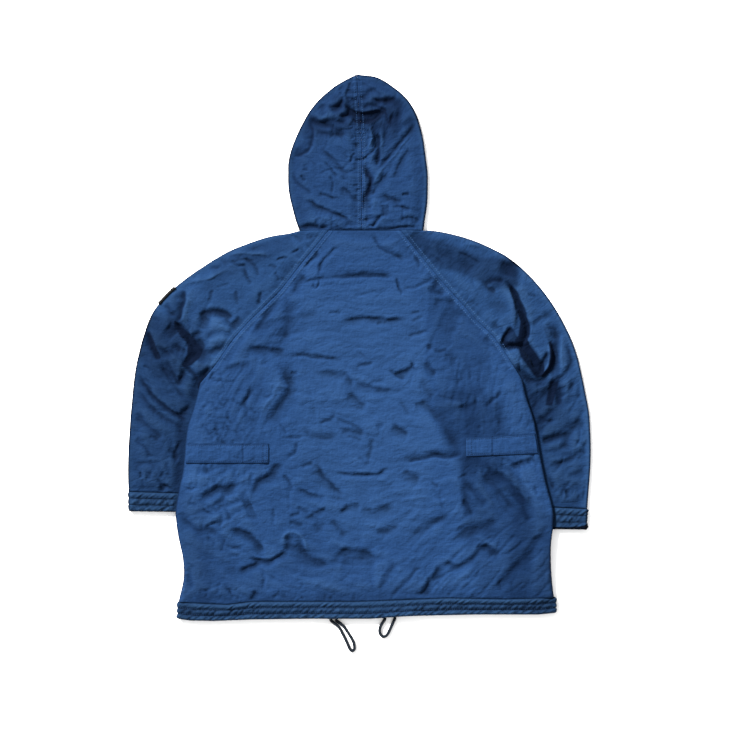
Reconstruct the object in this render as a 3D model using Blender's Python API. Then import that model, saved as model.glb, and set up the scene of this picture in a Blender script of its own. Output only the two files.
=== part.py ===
"""Hooded padded jacket with raglan sleeves, laid flat on its front.

Lengths in this file are millimetres, turned into metres when a mesh is made.
X runs across the jacket with the wearer's left at -X, Y runs from the hem to
the hood, and Z is up. The floor is Z = 0. The cloth lies in layers: the
sleeves' lower layer, their upper layer, the fronts, then the back. Below the
underarms the sleeves lie under the body, so the body is lifted there.
"""

import math

import bmesh
import bpy
import numpy as np

MM = 0.001

# Cloth
WALL = 5.0             # shell, wadding and lining, pressed flat at the seams
LOFT = 4.0             # how much the wadding adds away from the seams
GAP = 0.3              # between two layers
SEAM = 0.2             # from a seam's line to the edge of each piece
UPPER = WALL + GAP     # underside of an upper layer that lies on one lower layer
FOLD = WALL + GAP / 2  # radius of the cloth's outside where it folds over
NIP = 1.3              # how far the cloth rounds off at a seam
ROUND = 5.0            # how far it rounds off at a free edge
EDGE_HEIGHT = 1.0      # how high a free edge's corner stands
EDGE_SHARE = 0.28      # how much of the wall is rounded off beside it
SHARP_ANGLE = 50.0     # corners sharper than this are shaded sharp

# How far the wadding takes to reach its loft
SEAM_RUN = 34.0        # from the back's seams
HOOD_RUN = 26.0        # from the hood's centre seam
FOLD_RUN = 30.0        # from a fold at the outer edge
END_ROWS = 2.0         # from a piece's first and last row
COVER_HOLD = 25.0      # a sleeve stays plain this far past the body that lies on it
COVER_RUN = 36.0
CUFF_HOLD = 4.0        # the same for a cuff
CUFF_RUN = 10.0
FOLD_LOW = -3.6        # the folds' height stays within these
FOLD_HIGH = 3.0

# Body lifted over the sleeves and over the placket
SLEEVE_LIFT = 2 * (WALL + GAP)
LIFT_HOLD = 38.0       # full height this far past a sleeve's edge
LIFT_RUN = 45.0        # then down to the floor over this length
PLACKET_WALL = 3.0
PLACKET_HALF = 26.0
PLACKET_TOP = 226.0
PLACKET_FOOT = -534.0
PLACKET_HOLD = 74.0

# Left sleeve, a row a section from the neck to the cuff seam. The inner end is on
# the raglan seam down to the underarm, then on the seam under the arm.
RAGLAN_ROWS = 10
LEFT_SLEEVE = (
    # inner x, inner y, outer x, outer y
    (-62, 234.0, -120, 234.0),
    (-86, 203.6, -142, 228.5),
    (-111, 173.2, -178, 222.5),
    (-135, 142.8, -218, 210.0),
    (-159, 112.4, -262, 192.0),
    (-189, 82.0, -306, 166.0),
    (-220, 51.6, -348, 137.0),
    (-247, 21.2, -386, 104.0),
    (-269, -9.2, -414, 68.0),
    (-290, -39.6, -431, 24.0),
    (-316, -70.0, -441, -14.0),
    (-303, -88.0, -447, -42.0),
    (-283, -108.0, -451, -72.0),
    (-267, -132.0, -454, -104.0),
    (-262, -160.0, -457, -136.0),
    (-266, -188.0, -459, -168.0),
    (-276, -216.0, -461, -200.0),
    (-290, -243.0, -462, -232.0),
    (-306, -269.0, -462, -262.0),
    (-320, -291.0, -461, -286.5),
)
RIGHT_SLEEVE = (
    # inner x, inner y, outer x, outer y
    (83, 234.0, 128, 234.0),
    (106, 204.2, 148, 234.0),
    (130, 174.4, 184, 227.5),
    (154, 144.6, 224, 216.0),
    (180, 114.8, 268, 197.0),
    (207, 85.0, 308, 173.0),
    (233, 55.2, 344, 140.0),
    (264, 25.4, 374, 104.0),
    (286, -4.4, 400, 64.0),
    (305, -34.2, 422, 20.0),
    (324, -64.0, 435, -16.0),
    (312, -84.0, 441, -40.0),
    (290, -104.0, 447, -68.0),
    (276, -130.0, 453, -98.0),
    (272, -162.0, 459, -132.0),
    (278, -194.0, 461, -168.0),
    (288, -226.0, 462, -204.0),
    (301, -256.0, 461, -240.0),
    (314, -286.0, 458, -280.0),
    (323, -315.0, 455, -321.0),
)

# Body sides below the underarm
LEFT_SIDE = (
    # y, x
    (-70, -316), (-122, -330), (-156, -341), (-192, -346), (-242, -350), (-280, -358),
    (-320, -365), (-350, -364), (-390, -358), (-422, -352), (-460, -351), (-506, -361),
)
RIGHT_SIDE = (
    # y, x
    (-64, 324), (-98, 332), (-148, 348), (-216, 360), (-268, 371), (-322, 385),
    (-358, 385), (-400, 381), (-460, 384), (-497, 388),
)
BODY_STOPS = (
    # left y, right y, rows from the stop above
    (-190, -172, 5),   # top of the waist casings
    (-229, -211, 2),   # bottom of the waist casings
    (-506, -497, 13),  # hem seam
)
HEM_BEND_ROWS = 5      # the last rows bend to the hem seam's line
FREE_ROWS = 3.0        # the side edge turns from a seam to a free edge over these rows

# The body's columns: over each casing, then from there to the centre line, and which
# of the latter the layers' meeting faces keep
LEFT_COLUMNS = (9, 11)
RIGHT_COLUMNS = (8, 12)
LEFT_COARSE = [2, 6, 9]
RIGHT_COARSE = [2, 6]

# Hem band
HEM_SEAM = (
    # x, y
    (-361, -506), (-310, -509), (-262, -511), (-214, -505), (-118, -505), (-4, -505),
    (82, -502), (178, -498), (292, -500), (388, -497),
)
HEM_FOOT = (
    # x, y
    (-361, -541), (-338, -544), (-290, -545), (-218, -542), (-74, -540), (22, -540),
    (94, -535), (238, -532), (358, -532), (388, -529),
)
HEM_ENDS = (-363, 392)
QUILT_ROW = (0.0, 2.6, 0.4, 2.6, 0.4, 2.6, -1.2)  # ridges from the seam to the foot

# Cuffs: the foot's inner and outer corners; the seam is the sleeve's last row
LEFT_CUFF_FOOT = (-318, -328, -460, -326)
RIGHT_CUFF_FOOT = (327, -361, 454, -362.5)

# Waist casings, as parts of the body's width
LEFT_CASING_END = 0.235
RIGHT_CASING_END = 0.795
CASING_WALL = 2.2
CASING_PUFF = 1.3
CASING_GATHER = 0.5

# Hood: a row a section from the neck, turning about the crown to the centre seam
HOOD_SEAM = ((5, 234), (5, 400), (-5, 546))
LEFT_HOOD = (
    # seam y, fold x, fold y, gap from the lower layer's end to the seam
    (234.0, -120, 234.0, 0.2),
    (250, -127, 254, 18),
    (268, -133, 276, 28),
    (286, -138.5, 298, 33),
    (304, -142, 322, 35),
    (322, -142.5, 346, 35),
    (340, -142, 370, 35),
    (358, -137, 393, 35),
    (374, -128, 417, 34),
    (388, -116, 443, 33),
    (400, -101, 470, 32),
    (410, -80, 496, 35),
    (420, -52, 520, 37),
    (430, -26, 536, 37),
    (440, -5, 546, 36),
)
RIGHT_HOOD = (
    # seam y, fold x, fold y, gap from the lower layer's end to the seam
    (234.0, 128, 234.0, 0.2),
    (250, 130.5, 254, 18),
    (268, 134, 276, 28),
    (286, 136, 298, 33),
    (304, 136.5, 322, 35),
    (322, 136.5, 346, 35),
    (340, 134, 370, 35),
    (358, 131, 393, 35),
    (374, 127.5, 417, 34),
    (388, 121.5, 443, 33),
    (400, 112, 470, 32),
    (410, 96, 496, 35),
    (420, 72, 518, 37),
    (430, 36, 540, 37),
    (440, -5, 546, 36),
)

# The largest folds, pressed into the outside of the wadding
FOLDS = (
    # from x, from y, to x, to y, width, height
    (-98, 166, -136, 80, 24, -2.6),
    (-140, -16, -74, -20, 22, -2.0),
    (-218, 0, -142, -6, 24, -2.2),
    (-148, -102, -206, -170, 26, -2.4),
    (-160, -178, -34, -180, 24, -1.8),
    (-148, -238, -212, -288, 26, -2.4),
    (-231, -264, -318, -300, 24, -2.4),
    (-356, -334, -276, -370, 26, -2.0),
    (-276, -370, -186, -386, 26, -2.0),
    (-146, -406, -240, -446, 24, -2.6),
    (-112, -394, -52, -434, 30, -2.0),
    (110, -114, 230, -108, 28, -2.6),
    (110, -226, 206, -210, 26, -2.0),
    (290, -244, 338, -306, 30, 2.0),
    (380, -334, 258, -482, 26, -2.6),
    (166, -422, 238, -394, 26, -2.2),
    (-348, 112, -364, 50, 20, -3.0),
    (-364, 50, -312, -14, 22, -3.6),
    (-319, 68, -258, 64, 18, -2.4),
    (-438, -64, -352, -140, 22, -2.4),
    (-416, 36, -398, -26, 20, -2.2),
    (289, 130, 330, 38, 22, -3.8),
    (330, 38, 324, 8, 20, -3.6),
    (324, 8, 356, -50, 20, -3.0),
    (380, 4, 372, -44, 18, -3.0),
    (302, 38, 286, 14, 18, -2.6),
    (444, -146, 404, -202, 22, -2.2),
    (-24, 502, 30, 518, 18, -2.0),
    (-30, 482, 40, 474, 18, -3.2),
    (-16, 456, 40, 464, 16, -3.2),
    (-96, 460, -20, 428, 22, -2.6),
    (-132, 380, -92, 400, 18, -2.2),
    (38, 422, 36, 356, 18, -2.4),
    (12, 360, 8, 276, 18, -3.0),
    (82, 406, 36, 352, 20, 1.8),
    (-94, 286, -28, 258, 18, -2.2),
)

# Tab on the left sleeve's outer edge, from one section's row to another
TAB_SPAN = (6.55, 7.42)
TAB_ANGLES = 5
TAB_CLEAR = 0.4
TAB_WALL = 2.6
TAB_END_WALL = 4.4
TAB_TOP_ANGLE = 75.0
TAB_FOOT_ANGLE = -25.0

# Drawcord loops, on the floor
CORD_RADIUS = 3.2
CORD_Z = CORD_RADIUS + 0.2
CORD_POINTS = 30
LEFT_CORD_ROUTE = (
    (-57, -541.7), (-55.8, -545), (-50.5, -549.5), (-42, -556.5), (-35.5, -567),
    (-26.5, -585), (-19.8, -600), (-15.6, -605), (-11.2, -603), (-10, -597), (-13, -585),
    (-24.5, -566), (-32, -555.5), (-41, -548), (-45.6, -545), (-46.4, -541.7),
)
RIGHT_CORD_ROUTE = (
    (51, -539.5), (49.9, -543.5), (42.6, -555), (40.2, -565), (42.6, -573), (48.5, -576.4),
    (55.4, -572.6), (62, -560), (67.4, -548), (70.4, -542), (71, -538.3),
)

# Colours, as linear values
BLUE = (0.026, 0.078, 0.214)
BLUE_SHADE = (0.018, 0.055, 0.145)
BLACK = (0.006, 0.006, 0.008)
NAVY = (0.011, 0.026, 0.047)


def smooth(value):
    """Return 0 to 1 as the value goes from 0 to 1, level at both ends."""
    value = np.clip(value, 0.0, 1.0)
    return value * value * (3.0 - 2.0 * value)


def segment_distance(x, y, start, end):
    """Return the distance from each point to one straight segment."""
    run_x, run_y = end[0] - start[0], end[1] - start[1]
    length = max(run_x * run_x + run_y * run_y, 1e-9)
    along = np.clip(((x - start[0]) * run_x + (y - start[1]) * run_y) / length, 0.0, 1.0)
    return np.hypot(x - start[0] - along * run_x, y - start[1] - along * run_y)


def outline_distance(x, y, outline):
    """Return the distance from each point to a closed outline, 0 inside it."""
    nearest = np.full(np.shape(x), np.inf)
    inside = np.zeros(np.shape(x), dtype=bool)
    for start, end in zip(outline, outline[1:] + outline[:1]):
        nearest = np.minimum(nearest, segment_distance(x, y, start, end))
        if start[1] != end[1]:
            crosses = (y > min(start[1], end[1])) & (y <= max(start[1], end[1]))
            at_x = start[0] + (y - start[1]) * (end[0] - start[0]) / (end[1] - start[1])
            inside ^= crosses & (x < at_x)
    return np.where(inside, 0.0, nearest)


def fold_height(x, y):
    """Return the height that the folds add, each a soft trough or ridge."""
    height = np.zeros(np.shape(x))
    for from_x, from_y, to_x, to_y, width, rise in FOLDS:
        away = segment_distance(x, y, (from_x, from_y), (to_x, to_y)) / (width / 2)
        height += rise * np.exp(-away * away)
    return np.clip(height, FOLD_LOW, FOLD_HIGH)


def body_edges():
    """Return the body's left and right edge points, a row a section."""
    left = [row[:2] for row in LEFT_SLEEVE[:RAGLAN_ROWS + 1]]
    right = [row[:2] for row in RIGHT_SLEEVE[:RAGLAN_ROWS + 1]]
    for edge, side, column in ((left, LEFT_SIDE, 0), (right, RIGHT_SIDE, 1)):
        depths = [-y for y, x in side]
        offsets = [x for y, x in side]
        for stop in BODY_STOPS:
            start_y = edge[-1][1]
            for step in range(1, stop[2] + 1):
                y = start_y + (stop[column] - start_y) * step / stop[2]
                edge.append((float(np.interp(-y, depths, offsets)), y))
    return np.array(left, dtype=float), np.array(right, dtype=float)


BODY_LEFT, BODY_RIGHT = body_edges()
BODY_ROWS = len(BODY_LEFT)
BODY_OUTLINE = [tuple(p) for p in BODY_LEFT] + [tuple(p) for p in BODY_RIGHT[::-1]]
LEFT_UNDER = (
    [row[:2] for row in LEFT_SLEEVE[RAGLAN_ROWS:]]
    + [LEFT_CUFF_FOOT[:2], LEFT_CUFF_FOOT[2:]]
    + [row[2:] for row in reversed(LEFT_SLEEVE[RAGLAN_ROWS:])]
)
RIGHT_UNDER = (
    [row[:2] for row in RIGHT_SLEEVE[RAGLAN_ROWS:]]
    + [RIGHT_CUFF_FOOT[:2], RIGHT_CUFF_FOOT[2:]]
    + [row[2:] for row in reversed(RIGHT_SLEEVE[RAGLAN_ROWS:])]
)


def centre_x(y):
    """Return the centre front's x at each y."""
    middle = (BODY_LEFT + BODY_RIGHT) / 2
    return np.interp(-np.asarray(y, dtype=float), -middle[:, 1], middle[:, 0])


def lift(x, y):
    """Return how high the body is lifted over the sleeves and the placket."""
    apart = np.minimum(outline_distance(x, y, LEFT_UNDER), outline_distance(x, y, RIGHT_UNDER))
    over_sleeve = SLEEVE_LIFT * smooth(1 - (apart - LIFT_HOLD) / LIFT_RUN)
    aside = np.abs(x - centre_x(y))
    over_placket = (PLACKET_WALL + GAP) * smooth(1 - (aside - PLACKET_HOLD) / LIFT_RUN)
    return np.maximum(over_sleeve, over_placket)


def line_y(table, x):
    """Return a named line's y at each x."""
    return np.interp(x, [row[0] for row in table], [row[1] for row in table])


def hem_seam_y(x):
    """Return the hem seam's y at each x, straight between the coarse columns."""
    start, end = BODY_LEFT[-1, 0] + SEAM, BODY_RIGHT[-1, 0] - SEAM
    corners = start + (end - start) * np.array(COARSE)
    return np.interp(x, corners, line_y(HEM_SEAM, corners))


def body_grid(columns):
    """Return x and y of the body's points, a row a section and a column a share of its width."""
    share = np.array(columns, dtype=float)[None, :]
    left, right = BODY_LEFT.copy(), BODY_RIGHT.copy()
    left[:, 0] += SEAM
    right[:, 0] -= SEAM
    left[0, 1] -= SEAM
    right[0, 1] -= SEAM
    left[-1, 1] += SEAM
    right[-1, 1] += SEAM
    x = left[:, :1] + (right[:, :1] - left[:, :1]) * share
    y = left[:, 1:] + (right[:, 1:] - left[:, 1:]) * share
    row = np.arange(BODY_ROWS)[:, None]
    bend = smooth((row - (BODY_ROWS - 1 - HEM_BEND_ROWS)) / HEM_BEND_ROWS)
    straight = left[-1, 1] + (right[-1, 1] - left[-1, 1]) * share
    y = y + bend * (hem_seam_y(x) + SEAM - straight)
    return x, y


def body_columns():
    """Return the coarse columns of the layers' meeting faces and the fine ones of the outside."""
    left = np.linspace(0.0, LEFT_CASING_END, LEFT_COLUMNS[0])
    right = np.linspace(RIGHT_CASING_END, 1.0, RIGHT_COLUMNS[0])
    middle_left = np.linspace(LEFT_CASING_END, 0.5, LEFT_COLUMNS[1])[1:]
    middle_right = np.linspace(0.5, RIGHT_CASING_END, RIGHT_COLUMNS[1])[1:-1]
    fine = [*left, *middle_left, *middle_right, *right]
    coarse = [*left, *middle_left[LEFT_COARSE], *middle_right[RIGHT_COARSE], *right]
    return coarse, fine


COARSE, FINE = body_columns()


def grid_triangles(index, flip=False):
    """Return two triangles for each cell of a grid of point numbers."""
    triangles = []
    for upper, lower in zip(index[:-1], index[1:]):
        for a, b, d, c in zip(upper[:-1], upper[1:], lower[:-1], lower[1:]):
            triangles += [(a, b, c), (a, c, d)] if not flip else [(a, c, b), (a, d, c)]
    return triangles


def zip_triangles(first, second, first_share, second_share):
    """Return triangles that join two rows of points whose counts may differ."""
    triangles = []
    i = j = 0
    while i < len(first) - 1 or j < len(second) - 1:
        second_done = j == len(second) - 1
        if second_done or (i < len(first) - 1 and first_share[i + 1] <= second_share[j + 1]):
            triangles.append((first[i], first[i + 1], second[j]))
            i += 1
        else:
            triangles.append((first[i], second[j + 1], second[j]))
            j += 1
    return triangles


def add_mesh(name, points, triangles, material):
    """Make an object from points in millimetres, with its faces pointing out."""
    mesh = bpy.data.meshes.new(name)
    mesh.from_pydata([tuple(float(v) * MM for v in p) for p in points], [], triangles)
    work = bmesh.new()
    work.from_mesh(mesh)
    bmesh.ops.recalc_face_normals(work, faces=work.faces)
    work.to_mesh(mesh)
    work.free()
    mesh.shade_smooth()
    mesh.set_sharp_from_angle(angle=math.radians(SHARP_ANGLE))
    mesh.materials.append(material)
    thing = bpy.data.objects.new(name, mesh)
    COLLECTION.objects.link(thing)
    return thing


def thick_sheet(name, outer, inner, outer_share, inner_share, material):
    """Make a closed wall between two grids that have the same rows.

    The shares say how far along a row each column lies, so that the two end
    walls can join rows of unlike counts.
    """
    rows, outer_count = outer.shape[:2]
    inner_count = inner.shape[1]
    outer_index = np.arange(rows * outer_count).reshape(rows, outer_count)
    inner_index = rows * outer_count + np.arange(rows * inner_count).reshape(rows, inner_count)
    triangles = grid_triangles(outer_index.tolist())
    triangles += grid_triangles(inner_index.tolist(), flip=True)
    for edge in (0, -1):
        wall = np.stack([outer_index[:, edge], inner_index[:, edge]], axis=1)
        triangles += grid_triangles(wall.tolist(), flip=edge == 0)
        triangles += zip_triangles(
            outer_index[edge].tolist(), inner_index[edge].tolist(), outer_share, inner_share)
    points = np.concatenate([outer.reshape(-1, 3), inner.reshape(-1, 3)])
    return add_mesh(name, points.tolist(), triangles, material)


def back_thickness(x, y):
    """Return the back's thickness: its wadding, less at the seams, with the folds."""
    inside = np.minimum(x - BODY_LEFT[:, :1], BODY_RIGHT[:, :1] - x)
    ends = np.minimum(y[0] - y, y - y[-1])
    away = smooth(np.minimum(inside, ends) / SEAM_RUN)
    return WALL + away * (LOFT + fold_height(x, y))


def free_rows():
    """Return 1 for the body's rows that end at a free side edge, 0 at the raglan seams."""
    row = np.arange(BODY_ROWS)
    return smooth((row - RAGLAN_ROWS + FREE_ROWS) / FREE_ROWS)


def edge_columns(x, y):
    """Put two more columns beside each side edge of a grid, for its rounding."""
    def beside(edge, toward, distance, most):
        reach = toward - edge
        return edge + reach * np.minimum(distance / np.hypot(*reach), most)

    grid = np.stack([x, y])
    steps = ((NIP, 0.3), (ROUND, 0.65))
    first = [beside(grid[:, :, 0], grid[:, :, 1], *step) for step in steps]
    last = [beside(grid[:, :, -1], grid[:, :, -2], *step) for step in reversed(steps)]
    parts = [grid[:, :, :1], *[p[:, :, None] for p in first], grid[:, :, 1:-1],
             *[p[:, :, None] for p in last], grid[:, :, -1:]]
    joined = np.concatenate(parts, axis=2)
    return joined[0], joined[1]


def back_surface():
    """Return the back's outer points, with rounded side edges."""
    x, y = body_grid(FINE)
    x, y = edge_columns(x, y)
    base = lift(x, y) + UPPER
    thick = back_thickness(x, y)
    free = free_rows()
    for edge, beside in ((0, 1), (-1, -2)):
        thick[:, edge] = WALL - NIP + (EDGE_HEIGHT - WALL + NIP) * free
        thick[:, beside] = WALL * (1.0 - EDGE_SHARE * free)
    return np.stack([x, y, base + thick], axis=2)


def meeting_grid(height):
    """Return the coarse points where the fronts and the back lie on each other."""
    x, y = body_grid(COARSE)
    return np.stack([x, y, lift(x, y) + height], axis=2)


def side_share(x):
    """Return how far along a row each column lies."""
    return ((x - x[0]) / (x[-1] - x[0])).tolist()


def make_back(material):
    """Make the back panel."""
    outer = back_surface()
    inner = meeting_grid(UPPER)
    shares = side_share(outer[0, :, 0]), side_share(inner[0, :, 0])
    thick_sheet("back_body", outer, inner, *shares, material)
    return outer


def make_front(name, columns, edge, material):
    """Make one front from some of the meeting grid's columns; edge is its side seam's column."""
    inner = meeting_grid(WALL)[:, columns]
    centre = -1 if edge == 0 else 0
    inner[:, centre, 0] += SEAM if edge == -1 else -SEAM
    x, y = inner[:, :, 0], inner[:, :, 1]
    x, y = edge_columns(x, y)
    floor = lift(x, y)
    outer = np.stack([x, y, floor], axis=2)
    free = free_rows()
    beside = 1 if edge == 0 else -2
    outer[:, edge, 2] += NIP + (WALL - EDGE_HEIGHT - NIP) * free
    outer[:, beside, 2] += EDGE_SHARE * WALL * free
    thick_sheet(name, outer, inner, side_share(x[0]), side_share(inner[0, :, 0]), material)


def make_placket(material):
    """Make the flap that covers the closure, flat on the floor under the fronts."""
    y = np.linspace(PLACKET_TOP, PLACKET_FOOT, 9)[:, None]
    offset = np.array([-PLACKET_HALF, 0.0, PLACKET_HALF])[None, :]
    x = centre_x(y) + offset
    y = y + 0 * offset
    outer = np.stack([x, y, 0 * x], axis=2)
    inner = np.stack([x, y, 0 * x + PLACKET_WALL], axis=2)
    thick_sheet("front_placket", outer, inner, (0, 0.5, 1), (0, 0.5, 1), material)


def section_frame(row):
    """Return a section's inner point, its outward direction and its length."""
    inner, fold = np.array(row[:2], dtype=float), np.array(row[2:4], dtype=float)
    length = np.hypot(*(fold - inner))
    return inner, (fold - inner) / length, length


def wrapped_sheet(name, rows, reaches, frees, thickness, counts, material):
    """Make a sheet that lies in two layers about a fold at its outer edge.

    Each row gives the upper layer's inner end and the fold. The lower layer
    runs back from the fold by its reach. frees says how round the upper and
    the lower end are: 0 at a seam, 1 at a free edge.
    """
    upper_count, lower_count = counts
    outer, inner = [], []
    for number, (row, reach, free) in enumerate(zip(rows, reaches, frees)):
        start, toward, length = section_frame(row)
        lower_end = length - reach
        along = [0.0, NIP, *np.linspace(ROUND, length - FOLD, upper_count)]
        points = [start + toward * s for s in along]
        thick = thickness(np.array(points), np.array(along), length, number)
        thick[0] = WALL - NIP + (EDGE_HEIGHT - WALL + NIP) * free[0]
        thick[1] = WALL * (1.0 - EDGE_SHARE * free[0])
        section = [(*p, UPPER + t) for p, t in zip(points, thick)]
        edge = max(thick[-1] - WALL, 0.0)
        for angle in np.radians([60, 30, 0, -30, -60]):
            radius = FOLD + edge * max(math.cos(angle), 0.0)
            place = start + toward * (length - FOLD + radius * math.cos(angle))
            section.append((*place, FOLD + (FOLD + edge * (angle > 0)) * math.sin(angle)))
        for s in np.linspace(length - FOLD, lower_end + ROUND, lower_count):
            section.append((*(start + toward * s), 0.0))
        for s, round_z, seam_z in ((NIP, EDGE_SHARE * WALL, 0.0), (0.0, WALL - EDGE_HEIGHT, NIP)):
            height = seam_z + (round_z - seam_z) * free[1]
            section.append((*(start + toward * (lower_end + s)), height))
        outer.append(section)
        lining = [(*(start + toward * s), UPPER) for s in np.linspace(0, length - WALL, 6)]
        lining += [(*(start + toward * s), WALL) for s in np.linspace(length - WALL, lower_end, 5)]
        inner.append(lining)
    shares = [0.0, 0.01, *np.linspace(0.02, 0.46, upper_count), 0.47, 0.485, 0.5, 0.515, 0.53,
              *np.linspace(0.54, 0.98, lower_count), 0.99, 1.0]
    inner_shares = [*np.linspace(0, 0.465, 6), *np.linspace(0.505, 1.0, 5)]
    thick_sheet(name, np.array(outer), np.array(inner), shares, inner_shares, material)


def sleeve_rows(table, side):
    """Return a sleeve's rows, drawn back from its seams by half the gap."""
    rows = []
    for number, (inner_x, inner_y, outer_x, outer_y) in enumerate(table):
        shift = side * SEAM
        drop = -SEAM if number == 0 else SEAM if number == len(table) - 1 else 0.0
        rows.append((inner_x + shift, inner_y + drop, outer_x, outer_y + drop))
    return rows


def sleeve_thickness(points, along, length, number):
    """Return a sleeve's thickness: plain where the body lies on it and at its ends."""
    x, y = points[:, 0], points[:, 1]
    clear = smooth((outline_distance(x, y, BODY_OUTLINE) - COVER_HOLD) / COVER_RUN)
    fold = smooth((length - FOLD - along) / FOLD_RUN)
    last = len(LEFT_SLEEVE) - 1
    ends = smooth(min(number, last - number) / END_ROWS)
    return WALL + clear * fold * ends * (LOFT + fold_height(x, y))


def make_sleeve(name, table, side, material):
    """Make a sleeve with its shoulder."""
    rows = sleeve_rows(table, side)
    lengths = [section_frame(row)[2] for row in rows]
    frees = [(float(n > RAGLAN_ROWS),) * 2 for n in range(len(rows))]
    wrapped_sheet(name, rows, lengths, frees, sleeve_thickness, (11, 5), material)


def make_cuff(name, table, foot, side, material):
    """Make a quilted cuff whose ridges run round the sleeve."""
    seam = table[-1]
    rows = []
    for share in np.linspace(0, 1, len(QUILT_ROW)):
        row = [a + (b - a) * share for a, b in zip(seam, foot)]
        row[0] += side * SEAM
        rows.append(row)
    rows[0][1] -= SEAM
    rows[0][3] -= SEAM

    def thickness(points, along, length, number):
        apart = outline_distance(points[:, 0], points[:, 1], BODY_OUTLINE)
        return WALL + smooth((apart - CUFF_HOLD) / CUFF_RUN) * QUILT_ROW[number]

    lengths = [section_frame(row)[2] for row in rows]
    frees = [(1.0, 1.0)] * len(rows)
    wrapped_sheet(name, rows, lengths, frees, thickness, (8, 4), material)


def make_hood(name, table, side, material):
    """Make one half of the hood, from the centre seam over the side to the brim."""
    seam_y = [p[1] for p in HOOD_SEAM]
    seam_x = [p[0] for p in HOOD_SEAM]
    last = len(table) - 1
    rows, reaches = [], []
    for number, (inner_y, fold_x, fold_y, brim_gap) in enumerate(table):
        rise = SEAM if number == 0 else 0.0
        inner_x = float(np.interp(inner_y, seam_y, seam_x)) + side * SEAM
        outer_x = fold_x + (side * SEAM if number == last else 0.0)
        row = (inner_x, inner_y + rise, outer_x, fold_y + rise)
        rows.append(row)
        reaches.append(section_frame(row)[2] - brim_gap)

    def thickness(points, along, length, number):
        seam = smooth(along / HOOD_RUN)
        fold = smooth((length - FOLD - along) / FOLD_RUN)
        ends = smooth(min(number, last - number) / END_ROWS)
        return WALL + seam * fold * ends * (LOFT + fold_height(points[:, 0], points[:, 1]))

    frees = [(0.0, 1.0)] * len(rows)
    rows.reverse()
    reaches.reverse()
    wrapped_sheet(name, rows, reaches, frees, thickness, (10, 4), material)


def hem_stations():
    """Return the hem band's stations from the centre front, round both sides, and back to it.

    Each is x, the height of the band's inside, the outward direction in x and z,
    the wall's thickness and how much of the quilting shows.
    """
    x_fine = body_grid(FINE)[0][-1]
    x_coarse, y_coarse = (grid[-1] for grid in body_grid(COARSE))
    middle = float(x_coarse[COARSE.index(0.5)])
    left, right = HEM_ENDS[0] + FOLD, HEM_ENDS[1] - FOLD

    def raise_at(x):
        return float(np.interp(x, x_coarse, lift(x_coarse, y_coarse)))

    front_left = [x for x in x_coarse[::-1] if left < x < middle - 1]
    front_right = [x for x in x_coarse[::-1] if middle + 1 < x < right]
    stations = []
    for x in [middle - SEAM, *front_left, left]:
        stations.append((x, raise_at(x) + WALL, 0.0, -1.0, 0.0))
    for angle in np.radians([-120, -150, 180, 150, 120]):
        stations.append((left, FOLD, math.cos(angle), math.sin(angle), 1.0))
    for x in [left, *[x for x in x_fine if left < x < right], right]:
        stations.append((x, raise_at(x) + UPPER, 0.0, 1.0, 1.0))
    for angle in np.radians([60, 30, 0, -30, -60]):
        stations.append((right, FOLD, math.cos(angle), math.sin(angle), 1.0))
    for x in [right, *front_right, middle + SEAM]:
        stations.append((x, raise_at(x) + WALL, 0.0, -1.0, 0.0))
    return stations


def make_hem_band(material):
    """Make the quilted hem band, a profile carried round the body's foot."""
    outer, inner = [], []
    shares = np.linspace(0, 1, len(QUILT_ROW))
    for x, z, out_x, out_z, quilt in hem_stations():
        seam_y = hem_seam_y(x) - SEAM
        foot_y = line_y(HEM_FOOT, x)
        turn = quilt * max(0.0, 1.0 if out_x == 0 else 0.5 + 0.5 * out_z)
        base = GAP / 2 if out_x else 0.0
        section = []
        for share, ridge in zip(shares, QUILT_ROW):
            offset = base + WALL + ridge * turn
            section.append((x + out_x * offset, seam_y + (foot_y - seam_y) * share, z + out_z * offset))
        outer.append(section)
        inner.append([(x + out_x * base, y, z + out_z * base) for y in (seam_y, foot_y)])
    thick_sheet("hem_band", np.array(outer), np.array(inner), shares, (0.0, 1.0), material)


def make_casing(name, surface, columns, material):
    """Make a waist casing on the back from the back's own points, moved out."""
    first = RAGLAN_ROWS + BODY_STOPS[0][2]
    patch = surface[first:first + BODY_STOPS[1][2] + 1, columns]
    inner = patch.copy()
    inner[:, :, 2] += GAP
    outer = inner.copy()
    outer[:, :, 2] += CASING_WALL
    outer[1:-1, :, 2] += CASING_PUFF
    outer[1:-1, ::2, 2] += CASING_GATHER
    shares = side_share(patch[0, :, 0])
    thick_sheet(name, outer, inner, shares, shares, material)


def make_tab(material):
    """Make the small tab that wraps the left sleeve's outer fold."""
    rows = sleeve_rows(LEFT_SLEEVE, -1)
    angles = np.radians(np.linspace(TAB_TOP_ANGLE, TAB_FOOT_ANGLE, TAB_ANGLES))

    def arc(row, radius):
        start, toward, length = section_frame(row)
        points = [start + toward * (length - FOLD + radius * math.cos(a)) for a in angles]
        return np.array([(*p, FOLD + radius * math.sin(a)) for p, a in zip(points, angles)])

    outer, inner = [], []
    corner = math.ceil(TAB_SPAN[0])
    stations = [*np.linspace(TAB_SPAN[0], corner, 3), *np.linspace(corner, TAB_SPAN[1], 3)[1:]]
    for number, place in enumerate(stations):
        before = min(int(place), corner) if place > corner else int(place)
        part = place - before
        wall = TAB_END_WALL if number in (0, len(stations) - 1) else TAB_WALL
        for grid, radius in ((inner, FOLD + TAB_CLEAR), (outer, FOLD + TAB_CLEAR + wall)):
            grid.append(arc(rows[before], radius) * (1 - part) + arc(rows[before + 1], radius) * part)
    shares = np.linspace(0, 1, len(angles))
    thick_sheet("sleeve_tab", np.array(outer), np.array(inner), shares, shares, material)


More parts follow.
